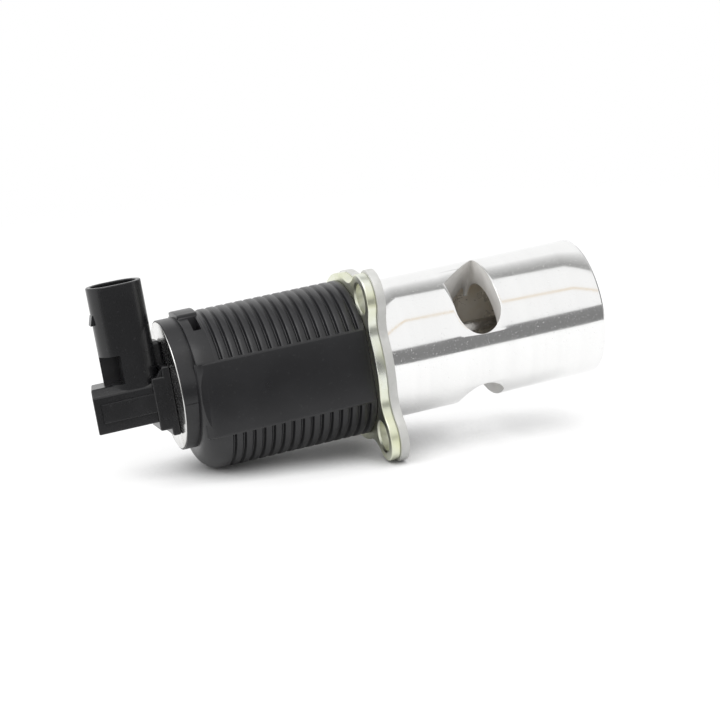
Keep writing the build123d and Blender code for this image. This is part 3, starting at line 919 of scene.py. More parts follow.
@dataclass
class EaredOutline:
    """Three-eared outline that the body flange and the steel plate share."""

    disc_r: float
    ear_r: float
    neck_fillet: float = 10.0
    ears: tuple[Spot, ...] = ((-21.4, 20.9), (-21.4, -23.5), (23.6, -20.1))
    hole_r: float = 4.75

    def outline(self) -> list[Spot]:
        """Draw round the disc, into each neck and round each ear.

        Returns:
            The outline's places in order.
        """
        places: list[Spot] = []
        ordered = sorted(self.ears, key=lambda ear: atan2(ear[1], ear[0]))
        joints = []
        for ear in ordered:
            reach = hypot(*ear)
            bearing = degrees(atan2(ear[1], ear[0]))
            far = self.disc_r + self.neck_fillet
            near = self.ear_r + self.neck_fillet
            swing = degrees(acos((reach ** 2 + far ** 2 - near ** 2) / (2 * reach * far)))
            joints.append((ear, bearing, far, swing))
        for index, (ear, bearing, far, swing) in enumerate(joints):
            for side in (-1, 1):
                angle = radians(bearing + side * swing)
                neck = (far * cos(angle), far * sin(angle))
                to_disc = degrees(atan2(-neck[1], -neck[0]))
                to_ear = degrees(atan2(ear[1] - neck[1], ear[0] - neck[0]))
                turn_by = (to_ear - to_disc + 180) % 360 - 180
                sweep = arc(neck, self.neck_fillet, to_disc, to_disc + turn_by, 10)
                if side < 0:
                    start = degrees(atan2(sweep[-1][1] - ear[1], sweep[-1][0] - ear[0]))
                    places += sweep
                else:
                    end = degrees(atan2(sweep[-1][1] - ear[1], sweep[-1][0] - ear[0]))
                    places += arc(ear, self.ear_r, start, start + (end - start) % 360, 28)[1:-1]
                    places += sweep[::-1]
            following = joints[(index + 1) % len(joints)]
            leave, arrive = bearing + swing, following[1] - following[3]
            places += arc((0.0, 0.0), self.disc_r, leave, leave + (arrive - leave) % 360, 30)[1:-1]
        return places

    def solid(self, start: float, thick: float, rounding: float) -> bpy.types.Object:
        """Build the flange as a solid with rounded edges.

        Args:
            start: x of its left face in millimetres.
            thick: Thickness.
            rounding: Width of the rounded edges.

        Returns:
            The solid.
        """
        piece = push([(start, y, z) for y, z in self.outline()], (thick, 0, 0))
        return soften(piece, rounding, 3, 60.0)

    def hole_cutters(self, start: float, end: float, lead: float = 0.0) -> list[bpy.types.Object]:
        """Build cutters for the bolt holes.

        Args:
            start: x before the left face.
            end: x beyond the right face.
            lead: Size of the chamfer at the left face, which lies CLEAR beyond start.

        Returns:
            One cutter for each hole.
        """
        face = start + CLEAR
        profile = [(start, 0.0), (start, self.hole_r + lead + (CLEAR if lead else 0))]
        if lead:
            profile += [(face, self.hole_r + lead), (face + lead, self.hole_r)]
        else:
            profile += [(face, self.hole_r)]
        profile += [(end, self.hole_r), (end, 0.0)]
        return [turn(profile, 72, ear) for ear in self.ears]


# ---------------------------------------------------------------- valve body


@dataclass
class ValveBody:
    """Aluminium body: flange, turned cartridge, gas chamber and the two milled windows."""

    finishes: Finishes
    radius: float = 22.5
    length: float = 74.5
    relief: float = 0.05
    flange_thick: float = 2.8
    gas_bore_r: float = 14.5
    nose_bore_r: float = 16.0
    seat_left: float = 56.0
    chamber_start: float = 20.0
    cone_left: float = 26.0
    cone_right: float = 37.0
    cone_blend: float = 2.0
    pocket_r: float = 7.6
    pocket_floor: float = 9.0
    guide_r: float = 5.2
    rim_chamfer: float = 0.6
    window_left: float = 25.4
    window_width: float = 15.0
    window_span: float = 31.2
    window_drop: float = 12.4
    windows: tuple[tuple[float, Slant], ...] = ((48.5, Slant.HIGH), (-87.0, Slant.LOW))
    corner_r: float = 0.6
    disc_r: float = 27.8
    ear_r: float = 8.6
    flange_rounding: float = 0.35
    edge_break: float = 0.12
    overlap: float = 0.2
    steps: int = 256

    def outward(self, angle: float) -> Vector:
        """Return the direction of a window, an angle in degrees above -Y."""
        return Vector((0, -cos(radians(angle)), sin(radians(angle))))

    def window(self, angle: float, slant: Slant) -> bpy.types.Object:
        """Build the cutter of one gas window.

        Args:
            angle: Cutting direction in degrees above -Y.
            slant: End at which the slanted edge lies.

        Returns:
            The cutter, from the axis outwards.
        """
        outward = self.outward(angle)
        across = outward.cross(Vector(VALVE_AXIS))
        sign = slant.value * (1 if across.z > 0 or across.y > 0 else -1)
        middle = self.window_left + self.window_width / 2
        radius, half = self.window_width / 2, self.window_span / 2
        tip, heel = (radius, half), (-radius, half - self.window_drop)
        flat = [*round_off((radius, 0.0), tip, heel, self.corner_r),
                *round_off(tip, heel, (-radius, 0.0), self.corner_r),
                *arc((0.0, radius - half), radius, 180, 360, 32)]
        places = [Vector((middle + x, 0, 0)) + across * (sign * y) for x, y in flat]
        return push([tuple(place) for place in places], tuple(outward * (self.radius + CLEAR)))

    def make(self) -> bpy.types.Object:
        """Build the body.

        Returns:
            The finished piece.
        """
        left = -self.flange_thick
        outer = self.radius - self.relief
        reach = self.length - self.rim_chamfer
        stations = [(reach * index / 9, self.radius - self.relief * index / 9) for index in range(10)]
        bore = [(self.length - index * (self.length - self.seat_left) / 3, self.nose_bore_r)
                for index in range(4)]
        wide = self.cone_right
        chamber = [(self.seat_left - index * (self.seat_left - wide) / 5, self.gas_bore_r)
                   for index in range(5)]
        chamber += round_off((wide + self.cone_blend, self.gas_bore_r), (wide, self.gas_bore_r),
                             (self.cone_left, self.guide_r), self.cone_blend)
        chamber += [(self.cone_left, self.guide_r), (self.chamber_start + 1, self.guide_r)]
        root, under = left + self.overlap, self.radius - 1
        profile = [(root, self.pocket_r), (root, under), (0.0, under), *stations,
                   (self.length, outer - self.rim_chamfer), *bore, *chamber,
                   (self.chamber_start, self.guide_r), (self.pocket_floor, self.guide_r),
                   (self.pocket_floor, self.pocket_r), (root, self.pocket_r)]
        barrel = turn(profile, self.steps)
        carve(barrel, [self.window(angle, slant) for angle, slant in self.windows])
        outline = EaredOutline(self.disc_r, self.ear_r)
        flange = outline.solid(left, self.flange_thick, self.flange_rounding)
        carve(flange, outline.hole_cutters(left - CLEAR, CLEAR))
        carve(flange, [turn([(left - CLEAR, 0), (left - CLEAR, self.pocket_r), (CLEAR, self.pocket_r),
                             (CLEAR, 0)], self.steps)])
        weld(flange, [barrel])
        soften(flange, self.edge_break, 2, 40.0)
        paint_faces(flange, 1, self.is_flange)
        paint_faces(flange, 3, self.is_inside)
        paint_faces(flange, 2, self.is_window_wall)
        return finish_piece(flange, "valve_body_piece", Body.UNIT, ["valve_body"],
                            [self.finishes.aluminium, self.finishes.flange_edge, self.finishes.milled,
                             self.finishes.chamber])

    def is_flange(self, at: Vector, _normal: Vector) -> bool:
        """Say from its centre whether a face lies on the flange, outside the cartridge."""
        return -self.flange_thick - 0.05 < at.x < 0.05 and hypot(at.y, at.z) > self.radius + 0.5

    def is_window_wall(self, at: Vector, normal: Vector) -> bool:
        """Say whether a face was cut by a window: it runs along the window's direction.

        Args:
            at: Centre of the face in millimetres.
            normal: Normal of the face.

        Returns:
            True for a wall of a window.
        """
        if not self.window_left - 0.3 < at.x < self.window_left + self.window_width + 0.3:
            return False
        outwards = [self.outward(angle) for angle, _ in self.windows]
        return any(abs(normal.dot(outward)) < 0.1 and at.dot(outward) > 4.0 for outward in outwards)

    def is_inside(self, at: Vector, _normal: Vector) -> bool:
        """Say from its centre whether a face lies in the gas chamber or the guide bore."""
        return hypot(at.y, at.z) < self.gas_bore_r + 0.02 and -2.0 < at.x < self.seat_left + 1


@dataclass
class FlangePlate:
    """Zinc-plated steel plate behind the body flange."""

    finishes: Finishes
    left: float = -5.8
    thick: float = 3.0
    bore_r: float = 7.6
    hole_lead: float = 0.6
    disc_r: float = 27.4
    ear_r: float = 7.8
    rounding: float = 0.45

    def make(self) -> bpy.types.Object:
        """Build the plate.

        Returns:
            The finished piece.
        """
        outline = EaredOutline(self.disc_r, self.ear_r)
        plate = outline.solid(self.left, self.thick, self.rounding)
        before, beyond = self.left - CLEAR, self.left + self.thick + CLEAR
        carve(plate, outline.hole_cutters(before, beyond, self.hole_lead))
        carve(plate, [turn([(before, 0), (before, self.bore_r), (beyond, self.bore_r), (beyond, 0)], 96)])
        return finish_piece(plate, "flange_plate_piece", Body.UNIT, ["flange_plate"],
                            [self.finishes.plate], flats=True)


# ---------------------------------------------------------------- solenoid housing


@dataclass
class SolenoidHousing:
    """Ribbed moulding over the magnet, with flat side panels, a hood and a collar."""

    finishes: Finishes
    left: float = -62.0
    right: float = -5.8
    crest_r: float = 25.2
    bore_r: float = 20.0
    end_wall: float = 2.0
    end_fillet: float = 7.0
    sleeve_r: float = 9.05
    groove_depth: float = 0.9
    groove_width: float = 1.3
    groove_flank: float = 0.5
    groove_lip: float = 0.22
    lip_drop: float = 0.07
    flank_run: float = 0.12
    flank_drop: float = 0.26
    floor_lift: float = 0.1
    floor_run: float = 0.08
    floor_inset: float = 0.05
    pitch: float = 3.15
    count: int = 15
    first_groove_x: float = -52.6
    panel_y: float = 22.6
    panel_z: float = 12.0
    panel_fillet: float = 5.0
    panel_lap: float = 0.3
    panel_rounding: float = 0.9
    hood_left: float = -60.6
    hood_right: float = -54.2
    hood_r: float = 25.3
    hood_wall: float = 4.4
    hood_base_z: float = 11.5
    hood_rounding: float = 0.35
    pad_r: float = 26.3
    pad_half: float = 6.5
    pocket: tuple[float, float, float, float] = (-57.7, -55.2, -14.0, -7.2)
    pocket_depth: float = 1.2
    collar_left: float = -65.0
    rim_height: float = 0.95
    rim_bore_r: float = 20.38
    collar_r: float = 20.8
    collar_z: float = 3.8
    tail_bore_r: float = 5.0
    line_rise: float = 0.1
    edge: float = 0.3
    steps: int = 224

    def groove(self) -> list[Spot]:
        """Draw half of a groove from its middle outwards.

        Returns:
            Pairs of distance from the groove's middle and radius.
        """
        half, floor_half = self.groove_width / 2, self.groove_width / 2 - self.groove_flank
        floor = self.crest_r - self.groove_depth
        return [(floor_half - self.floor_inset, floor),
                (floor_half + self.floor_run, floor + self.floor_lift),
                (half - self.flank_run, self.crest_r - self.flank_drop),
                (half, self.crest_r - self.lip_drop), (half + self.groove_lip, self.crest_r)]

    def rib_profile(self) -> list[Spot]:
        """Draw the barrel's outer line from the rounded left end to the flange plate.

        Returns:
            Pairs of x and radius.
        """
        bend = (self.left + self.end_fillet, self.crest_r - self.end_fillet)
        line = arc(bend, self.end_fillet, 180, 90, 14)
        half_groove = self.groove()
        for index in range(self.count):
            x = self.first_groove_x + index * self.pitch
            line += [(x - away, radius) for away, radius in reversed(half_groove)]
            line += [(x + away, radius) for away, radius in half_groove]
        return line + [(self.right - self.edge, self.crest_r), (self.right, self.crest_r - self.edge)]

    def barrel(self) -> bpy.types.Object:
        """Build the ribbed barrel with its bore and its flat sides.

        Returns:
            The barrel.
        """
        inner_left = self.left + self.end_wall
        profile = self.rib_profile() + [(self.right, self.bore_r), (inner_left, self.bore_r),
                                        (inner_left, self.sleeve_r), (self.left, self.sleeve_r)]
        barrel = turn(profile + profile[:1], self.steps)
        near, far = self.panel_y - self.panel_lap, self.pad_r
        return carve(barrel, [box((self.left - CLEAR, low, -far), (self.right + CLEAR, high, far))
                              for low, high in ((-far, -near), (near, far))])

    def panel(self, side: Side) -> bpy.types.Object:
        """Build one flat side panel with a rounded end.

        Args:
            side: Side of the valve that it lies on.

        Returns:
            The panel.
        """
        root = self.bore_r + 0.3
        centre = (self.left + self.panel_fillet, self.panel_y - self.panel_fillet)
        stop = degrees(asin((root - centre[1]) / self.panel_fillet))
        bend = arc(centre, self.panel_fillet, 90, 180 - stop, 14)
        right = self.right - self.panel_lap / 6
        flat = [(right, root), (right, self.panel_y), *bend]
        piece = push([(x, side.value * y, -self.panel_z) for x, y in flat], (0, 0, 2 * self.panel_z))
        return soften(piece, self.panel_rounding, 5, 50.0)

    def hood(self) -> bpy.types.Object:
        """Build the crisp shoulder over the upper half, with its raised pad.

        Returns:
            The shoulder.
        """
        half = degrees(acos(self.hood_base_z / self.hood_r))
        inner_r = self.hood_r - self.hood_wall
        inner_half = degrees(acos(self.hood_base_z / inner_r))
        outer = arc((0.0, 0.0), self.hood_r, 90 - half, 90 + half, 72)
        pad_angle = degrees(asin(self.pad_half / self.hood_r))
        pad_z = sqrt(self.pad_r ** 2 - self.pad_half ** 2) + 0.1
        before = [spot for spot in outer if spot[0] > self.pad_half + 0.2]
        after = [spot for spot in outer if spot[0] < -self.pad_half - 0.2]
        foot_z = self.hood_r * cos(radians(pad_angle))
        pad = [(self.pad_half, foot_z), (self.pad_half, pad_z),
               *arc((0.0, 0.0), self.pad_r, 90 - pad_angle, 90 + pad_angle, 12)[1:-1],
               (-self.pad_half, pad_z), (-self.pad_half, foot_z)]
        ring = before + pad + after + arc((0.0, 0.0), inner_r, 90 + inner_half, 90 - inner_half, 40)
        piece = push([(self.hood_left, y, z) for y, z in ring], (self.hood_right - self.hood_left, 0, 0))
        return soften(piece, self.hood_rounding, 3, 45.0)

    def collar(self) -> bpy.types.Object:
        """Build the round collar that carries the steel end plate.

        Returns:
            The collar.
        """
        inner, rim = self.bore_r - self.collar_z, self.collar_left - self.rim_height
        root, floor, back = self.hood_left + 0.1, self.left + 0.6, self.tail_bore_r + self.collar_z
        profile = [(self.collar_left, self.tail_bore_r - 0.1), (self.collar_left, self.rim_bore_r),
                   (rim + 0.1, self.rim_bore_r), (rim, self.rim_bore_r + 0.1), (rim, self.collar_r - 0.1),
                   (rim + 0.1, self.collar_r), (root, self.collar_r), (root, inner), (floor, inner),
                   (floor, back), (self.collar_left + 0.6, back)]
        return turn([*profile, profile[0]], 192, (0.0, self.collar_z))

    def parting_line(self, side: Side) -> bpy.types.Object:
        """Build the fine raised line that the mould leaves down one side of the left end.

        Args:
            side: Side of the valve that it runs down.

        Returns:
            The line as a thin web.
        """
        rim, shoulder = self.collar_left - self.rim_height, self.left + self.end_fillet
        root, rise = self.bore_r + 0.2, self.line_rise
        reach = sqrt(self.collar_r ** 2 - self.collar_z ** 2) + rise
        bend = arc((shoulder, self.crest_r - self.end_fillet), self.end_fillet + rise, 150, 112, 8)
        crest = [(rim, root), (rim, reach), (self.hood_left + 0.3, reach), *bend]
        flat = [place for place in crest if place[1] < self.panel_y + rise]
        flat += [(shoulder, self.panel_y + rise / 2), (shoulder, root)]
        return push([(x, side.value * y, -rise) for x, y in flat], (0, 0, 2 * rise))

    def make(self) -> bpy.types.Object:
        """Build the housing.

        Returns:
            The finished piece.
        """
        piece = self.barrel()
        weld(piece, [*(self.panel(side) for side in Side), self.hood()])
        weld(piece, [self.collar(), *(self.parting_line(side) for side in Side)])
        x0, x1, y0, y1 = self.pocket
        floor = self.hood_r - self.pocket_depth
        bottom = floor * cos(asin(abs(y0) / floor)) - 0.6
        carve(piece, [box((x0, y0, bottom), (x1, y1, self.pad_r + CLEAR))])
        return finish_piece(piece, "solenoid_housing_piece", Body.UNIT, ["solenoid_housing"],
                            [self.finishes.housing], 38.0)


@dataclass
class EndPlate:
    """Bright steel disc between the housing's collar and the sensor cover."""

    finishes: Finishes
    left: float = -66.2
    thick: float = 1.2
    radius: float = 20.3
    hole_r: float = 4.0
    centre_z: float = 3.8
    edge: float = 0.12

    def make(self) -> bpy.types.Object:
        """Build the disc with a rolled edge.

        Returns:
            The finished piece.
        """
        right, middle, edge = self.left + self.thick, self.radius * 0.6, self.edge
        rolled = [*arc((self.left + edge, self.radius - edge), edge, 180, 90, 4),
                  *arc((right - edge, self.radius - edge), edge, 90, 0, 4)]
        piece = turn([(self.left, 0.0), (self.left, middle), *rolled, (right, middle), (right, 0.0)], 192,
                     (0.0, self.centre_z))
        carve(piece, [turn([(self.left - CLEAR, 0), (self.left - CLEAR, self.hole_r),
                            (right + CLEAR, self.hole_r), (right + CLEAR, 0)], 64)])
        return finish_piece(piece, "end_plate_piece", Body.UNIT, ["end_plate"],
                            [self.finishes.bright_steel])


# ---------------------------------------------------------------- sensor cover and plug


@dataclass
class SensorCover:
    """Sensor block on its foot, with the plug tower, the lead duct, a gusset and a side rib."""

    finishes: Finishes
    foot_right: float = -66.2
    foot_left: float = -68.8
    foot_y: Spot = (-8.0, 8.0)
    foot_z: Spot = (-10.9, 11.2)
    step_left: float = -72.4
    step_y: Spot = (-8.0, 6.0)
    step_z: Spot = (-8.6, 8.3)
    block_left: float = -91.4
    block_y: Spot = (-7.0, 5.5)
    block_z: Spot = (-5.8, 8.3)
    end_sweep: float = 2.2
    shoulder: float = 2.4
    wall: float = 1.8
    floor_wall: float = 2.0
    rib_z: Spot = (-2.5, 3.6)
    rib_height: float = 0.7
    rib_inset: float = 2.2
    duct_y: Spot = (-1.0, 6.0)
    duct_z: Spot = (10.0, 18.6)
    gusset: tuple[float, float, float] = (3.6, 4.6, 1.6)
    overlap: float = 0.8
    tower_x: float = -77.2
    tower_size: Spot = (17.4, 13.6)
    tower_z: Spot = (5.6, 39.0)
    tower_wall: float = 1.5
    socket_floor: float = 19.0
    notch_x: float = -80.3
    notch_y: float = 1.5
    notch_top: float = 17.2
    latch: tuple[float, float, float, float] = (4.0, 27.3, 30.5, 0.9)
    plunger_r: float = 2.25
    seal_ring: Spot = (5.2, 6.4)
    seal_depth: float = 0.8

    def body_block(self) -> bpy.types.Object:
        """Build the sensor block: bevelled along its near top edge and swept back at its end.

        Returns:
            The block.
        """
        (near, far), (low, high) = self.block_y, self.block_z
        outline = [(near, low), (far, low), (far, high), (near + self.shoulder, high),
                   (near, high - self.shoulder)]
        length = self.foot_left - self.block_left + 0.6
        piece = push([(self.block_left, y, z) for y, z in outline], (length, 0, 0))
        pick(piece)
        bpy.ops.object.mode_set(mode="EDIT")
        bpy.ops.mesh.select_all(action="SELECT")
        across = far - near
        bpy.ops.mesh.bisect(plane_co=Vector((self.block_left, near, 0)) * MM,
                            plane_no=Vector((-across, self.end_sweep, 0)).normalized(), use_fill=True,
                            clear_outer=True)
        bpy.ops.object.mode_set(mode="OBJECT")
        return soften(piece, 0.5, 3, 25.0)

    def tower(self) -> bpy.types.Object:
        """Build the plug tower: slot-shaped, hollow to its floor, with a rounded rim and a latch.

        Returns:
            The tower.
        """
        width, depth = self.tower_size
        low, high = self.tower_z
        middle, walls = (self.tower_x, 0.0), 2 * self.tower_wall
        piece = push([(x, y, low) for x, y in slot_outline(middle, width, depth, 40)], (0, 0, high - low))
        inner = slot_outline(middle, width - walls, depth - walls, 40)
        carve(piece, [push([(x, y, self.socket_floor) for x, y in inner],
                           (0, 0, high - self.socket_floor + CLEAR))])
        soften(piece, 0.35, 3, 60.0)
        carve(piece, [box((self.tower_x - width, -depth, self.block_z[1]),
                          (self.notch_x, self.notch_y, self.notch_top))])
        across, foot, top, proud = self.latch
        side = self.tower_x - width / 2
        ramp = push([(side + proud, -across / 2, top), (side, -across / 2, top),
                     (side - proud, -across / 2, foot), (side + proud, -across / 2, foot)], (0, across, 0))
        return weld(piece, [soften(ramp, 0.15, 2, 30.0)])

    def fixings(self) -> list[bpy.types.Object]:
        """Build the foot, the step, the side rib, the lead duct and the gusset, each with soft edges.

        Returns:
            The five solids.
        """
        near, buried = self.block_y[0], self.foot_left + self.overlap
        foot = box((self.foot_left, self.foot_y[0], self.foot_z[0]),
                   (self.foot_right, self.foot_y[1], self.foot_z[1]))
        step = box((self.step_left, self.step_y[0], self.step_z[0]),
                   (buried, self.step_y[1], self.step_z[1]))
        rib = box((self.block_left + self.rib_inset, near - self.rib_height, self.rib_z[0]),
                  (buried, near + self.overlap, self.rib_z[1]))
        duct = box((self.tower_x + self.tower_size[0] / 4, self.duct_y[0], self.duct_z[0]),
                   (self.foot_right, self.duct_y[1], self.duct_z[1]))
        length, height, thick = self.gusset
        sill = self.block_z[1] - self.shoulder
        gusset = push([(self.foot_left - length, near, sill), (buried, near, sill - 0.6),
                       (buried, near, sill + height), (self.foot_left, near, sill + height)], (0, thick, 0))
        return [soften(foot, 0.6, 3, 45.0), soften(step, 0.6, 3, 45.0), soften(rib, 0.3, 2, 45.0),
                soften(duct, 1.2, 4, 45.0), soften(gusset, 0.2, 2, 30.0)]

    def hollows(self) -> list[bpy.types.Object]:
        """Build cutters for the sensor's room, the plunger's bore and the seal's groove.

        Returns:
            The three cutters.
        """
        room = box((self.block_left + self.end_sweep + self.wall, self.block_y[0] + self.wall,
                    self.block_z[0] + self.floor_wall),
                   (self.step_left, self.block_y[1] - self.wall,
                    self.block_z[1] - self.shoulder - self.wall / 2))
        bore = turn([(self.step_left - CLEAR, 0), (self.step_left - CLEAR, self.plunger_r),
                     (self.foot_right + CLEAR, self.plunger_r), (self.foot_right + CLEAR, 0)], 48)
        inner, outer = self.seal_ring
        left, right = self.foot_right - self.seal_depth, self.foot_right + CLEAR
        groove = turn([(left, inner), (right, inner), (right, outer), (left, outer), (left, inner)], 96)
        return [room, bore, groove]

    def make(self) -> bpy.types.Object:
        """Build the cover.

        Returns:
            The finished piece.
        """
        piece = self.body_block()
        weld(piece, [*self.fixings(), self.tower()])
        carve(piece, self.hollows())
        return finish_piece(piece, "sensor_cover_piece", Body.UNIT, ["sensor_cover"],
                            [self.finishes.cover], flats=True)


@dataclass
class PlugContacts:
    """Row of flat contacts in the plug tower, each with a tapered tip."""

    finishes: Finishes
    middle_x: float = -77.2
    count: int = 5
    pitch: float = 2.54
    width: float = 1.5
    thick: float = 0.64
    root_z: float = 17.4
    tip_z: float = 31.0
    taper: float = 1.1
    tip_share: Spot = (0.62, 0.45)

    def make(self) -> bpy.types.Object:
        """Build one contact and set the row out from it.

        Returns:
            The finished piece.
        """
        half, side = self.width / 2, self.thick / 2
        first = push([(-half, -side, self.root_z), (half, -side, self.root_z), (half, side, self.root_z),
                      (-half, side, self.root_z)], (0, 0, self.tip_z - self.taper - self.root_z))
        pick(first)
        bpy.ops.object.mode_set(mode="EDIT")
        bpy.ops.mesh.select_mode(type="FACE")
        bpy.ops.mesh.select_all(action="DESELECT")
        bpy.ops.object.mode_set(mode="OBJECT")
        for face in first.data.polygons:
            face.select = face.normal.z > 0.9
        bpy.ops.object.mode_set(mode="EDIT")
        bpy.ops.mesh.extrude_region_move(TRANSFORM_OT_translate={"value": (0, 0, self.taper * MM)})
        bpy.ops.transform.resize(value=(*self.tip_share, 1.0))
        bpy.ops.mesh.select_mode(type="VERT")
        bpy.ops.object.mode_set(mode="OBJECT")
        soften(first, 0.07, 2, 30.0)
        row = [first]
        for _ in range(self.count - 1):
            pick(row[-1])
            bpy.ops.object.duplicate_move(TRANSFORM_OT_translate={"value": (self.pitch * MM, 0, 0)})
            row.append(bpy.context.active_object)
        clear_bench()
        for contact in row:
            contact.select_set(True)
        bpy.context.view_layer.objects.active = first
        bpy.ops.object.join()
        first.location.x += (self.middle_x - (self.count - 1) / 2 * self.pitch) * MM
        return finish_piece(first, "connector_terminals_piece", Body.UNIT, ["connector_terminals"],
                            [self.finishes.tin])


# ---------------------------------------------------------------- valve train


@dataclass
class SeatRing:
    """Stainless ring that the poppet closes on."""

    finishes: Finishes
    left: float = 56.0
    right: float = 61.0
    radius: float = 16.0
    hole_r: float = 10.0
    cone: float = 2.0
    edge: float = 0.3

    def make(self) -> bpy.types.Object:
        """Build the ring.

        Returns:
            The finished piece.
        """
        left, right, edge = self.left, self.right, self.edge
        profile = [(left, self.hole_r + edge), (left + edge, self.hole_r), (right - self.cone, self.hole_r),
                   (right, self.hole_r + self.cone), (right, self.radius - edge), (right - edge, self.radius),
                   (left, self.radius)]
        return finish_piece(turn([*profile, profile[0]], 192), "seat_ring_piece", Body.UNIT, ["seat_ring"],
                            [self.finishes.seat_steel])


@dataclass
class Poppet:
    """Valve disc: a cone to the seat, a thin rim and a hollow-curved back down to its hub."""

    finishes: Finishes
    left: float = 59.3
    rim_right: float = 62.7
    hub_right: float = 64.9
    radius: float = 12.0
    cone: float = 2.0
    hub_r: float = 4.6
    back_r: float = 9.0
    bore_r: float = 2.2
    bore_depth: float = 3.0

    def back_curve(self, count: int = 16) -> list[Spot]:
        """Draw the hollow curve from the rim to the hub.

        Args:
            count: Number of places.

        Returns:
            Pairs of x and radius.
        """
        start, end = Vector((self.rim_right, self.radius)), Vector((self.hub_right, self.hub_r))
        chord = end - start
        middle = (start + end) / 2
        normal = Vector((-chord.y, chord.x)).normalized()
        centre = middle + normal * sqrt(self.back_r ** 2 - (chord.length / 2) ** 2)
        if centre.x < middle.x:
            centre = 2 * middle - centre
        first = degrees(atan2(start.y - centre.y, start.x - centre.x))
        last = degrees(atan2(end.y - centre.y, end.x - centre.x))
        swing = (last - first + 180) % 360 - 180
        return arc((centre.x, centre.y), self.back_r, first, first + swing, count)

    def make(self) -> bpy.types.Object:
        """Build the disc.

        Returns:
            The finished piece.
        """
        floor = self.left + self.bore_depth
        profile = [(self.left, self.bore_r), (self.left, self.radius - self.cone),
                   (self.left + self.cone, self.radius), *self.back_curve(), (self.hub_right, 0.0),
                   (floor, 0.0), (floor, self.bore_r)]
        return finish_piece(turn([*profile, profile[0]], 192), "valve_disc_piece", Body.LIFTER,
                            ["valve_disc"], [self.finishes.seat_steel])


@dataclass
class Stem:
    """Ground stem from the armature to the poppet, with a spigot riveted over the hub."""

    finishes: Finishes
    left: float = -50.0
    shoulder: float = 59.3
    radius: float = 3.0
    spigot_r: float = 2.2
    spigot_length: float = 3.0
    edge: float = 0.4

    def make(self) -> bpy.types.Object:
        """Build the stem.

        Returns:
            The finished piece.
        """
        tip = self.shoulder + self.spigot_length
        body = [(self.left + (self.shoulder - self.left) * index / 12, self.radius) for index in range(1, 12)]
        profile = [(self.left, 0), (self.left, self.radius - self.edge), (self.left + self.edge, self.radius),
                   *body, (self.shoulder, self.radius), (self.shoulder, self.spigot_r),
                   (tip - self.edge / 2, self.spigot_r), (tip, self.spigot_r - self.edge / 2), (tip, 0)]
        return finish_piece(turn(profile, 96), "valve_stem_piece", Body.LIFTER, ["valve_stem"],
                            [self.finishes.ground_steel])


@dataclass
class CoilSpring:
    """Round-wire spring between the valve unit and a moving body."""

    finishes: Finishes
    node: str
    moving: Body
    start: float
    end: float
    fixed_x: float
    moving_x: float
    coil_r: float
    wire_r: float
    turns: int
    steps: int = 40
    sides: int = 14

    def make(self) -> bpy.types.Object:
        """Wind the wire along its helix and close its ends.

        Returns:
            The finished piece.
        """
        wire = arc((0.0, self.coil_r), self.wire_r, 0, 360, self.sides + 1)
        piece = draw([(self.start + along, 0.0, radius) for along, radius in wire])
        bpy.ops.object.mode_set(mode="OBJECT")
        steps = self.steps * self.turns
        apply(piece, "SCREW", axis="X", angle=2 * pi * self.turns, steps=steps, render_steps=steps,
              screw_offset=(self.end - self.start) * MM, use_merge_vertices=False)
        pick(piece)
        bpy.ops.object.mode_set(mode="EDIT")
        bpy.ops.mesh.select_mode(type="VERT")
        bpy.ops.mesh.select_all(action="DESELECT")
        bpy.ops.mesh.select_non_manifold()
        bpy.ops.mesh.fill_holes(sides=0)
        close_shape(piece)
        finish_piece(piece, f"{self.node}_piece", None, [self.node],
                     [self.finishes.spring_wire])
        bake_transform(piece)
        return piece


# ---------------------------------------------------------------- studio


@dataclass(frozen=True)
class Card:
    """Glowing card that only reflections see, painting a reflection on glossy surfaces, graded from its first
    edge's colour to its last one's.
    """

    name: str
    corners: tuple[Point, Point, Point, Point]
    near: Colour
    far: Colour

    def finish(self) -> bpy.types.Material:
        """Build the card's glow, from its first edge's colour to its last one's.

        Returns:
            The material.
        """
        material = bpy.data.materials.new(self.name)
        material.use_nodes = True
        material.node_tree.nodes.clear()
        board = NodeBoard(material.node_tree)
        across = board.add("SeparateXYZ", {0: board.add("TexCoord").outputs["UV"]}).outputs[1]
        glow = board.add("Emission", {"Color": board.tint(across, self.near, self.far)})
        board.add("OutputMaterial", {"Surface": glow.outputs[0]})
        return material

    def hang(self) -> bpy.types.Object:
        """Hang the card: two corners of its first edge, then the two beyond them in the same order.

        Returns:
            The card.
        """
        clear_bench()
        bpy.ops.mesh.primitive_plane_add(size=2)
        card = bpy.context.active_object
        card.name = self.name
        for vertex, corner in zip(card.data.vertices, self.corners):
            vertex.co = Vector(corner) * MM
        card.data.materials.append(self.finish())
        for ray in ("camera", "diffuse", "shadow", "transmission", "volume_scatter"):
            setattr(card, f"visible_{ray}", False)
        return card


@dataclass(frozen=True)
class Lamp:
    """Soft square lamp."""

    name: str
    place: Point
    target: Point
    size: float
    power: float

    def hang(self) -> bpy.types.Object:
        """Hang the lamp and point it at its target.

        Returns:
            The lamp.
        """
        clear_bench()
        bpy.ops.object.light_add(type="AREA", location=Vector(self.place) * MM)
        lamp = bpy.context.active_object
        lamp.name = self.name
        lamp.data.size = self.size * MM
        lamp.data.energy = self.power
        beam = Vector(self.target) - Vector(self.place)
        lamp.rotation_euler = beam.to_track_quat("-Z", "Y").to_euler()
        return lamp
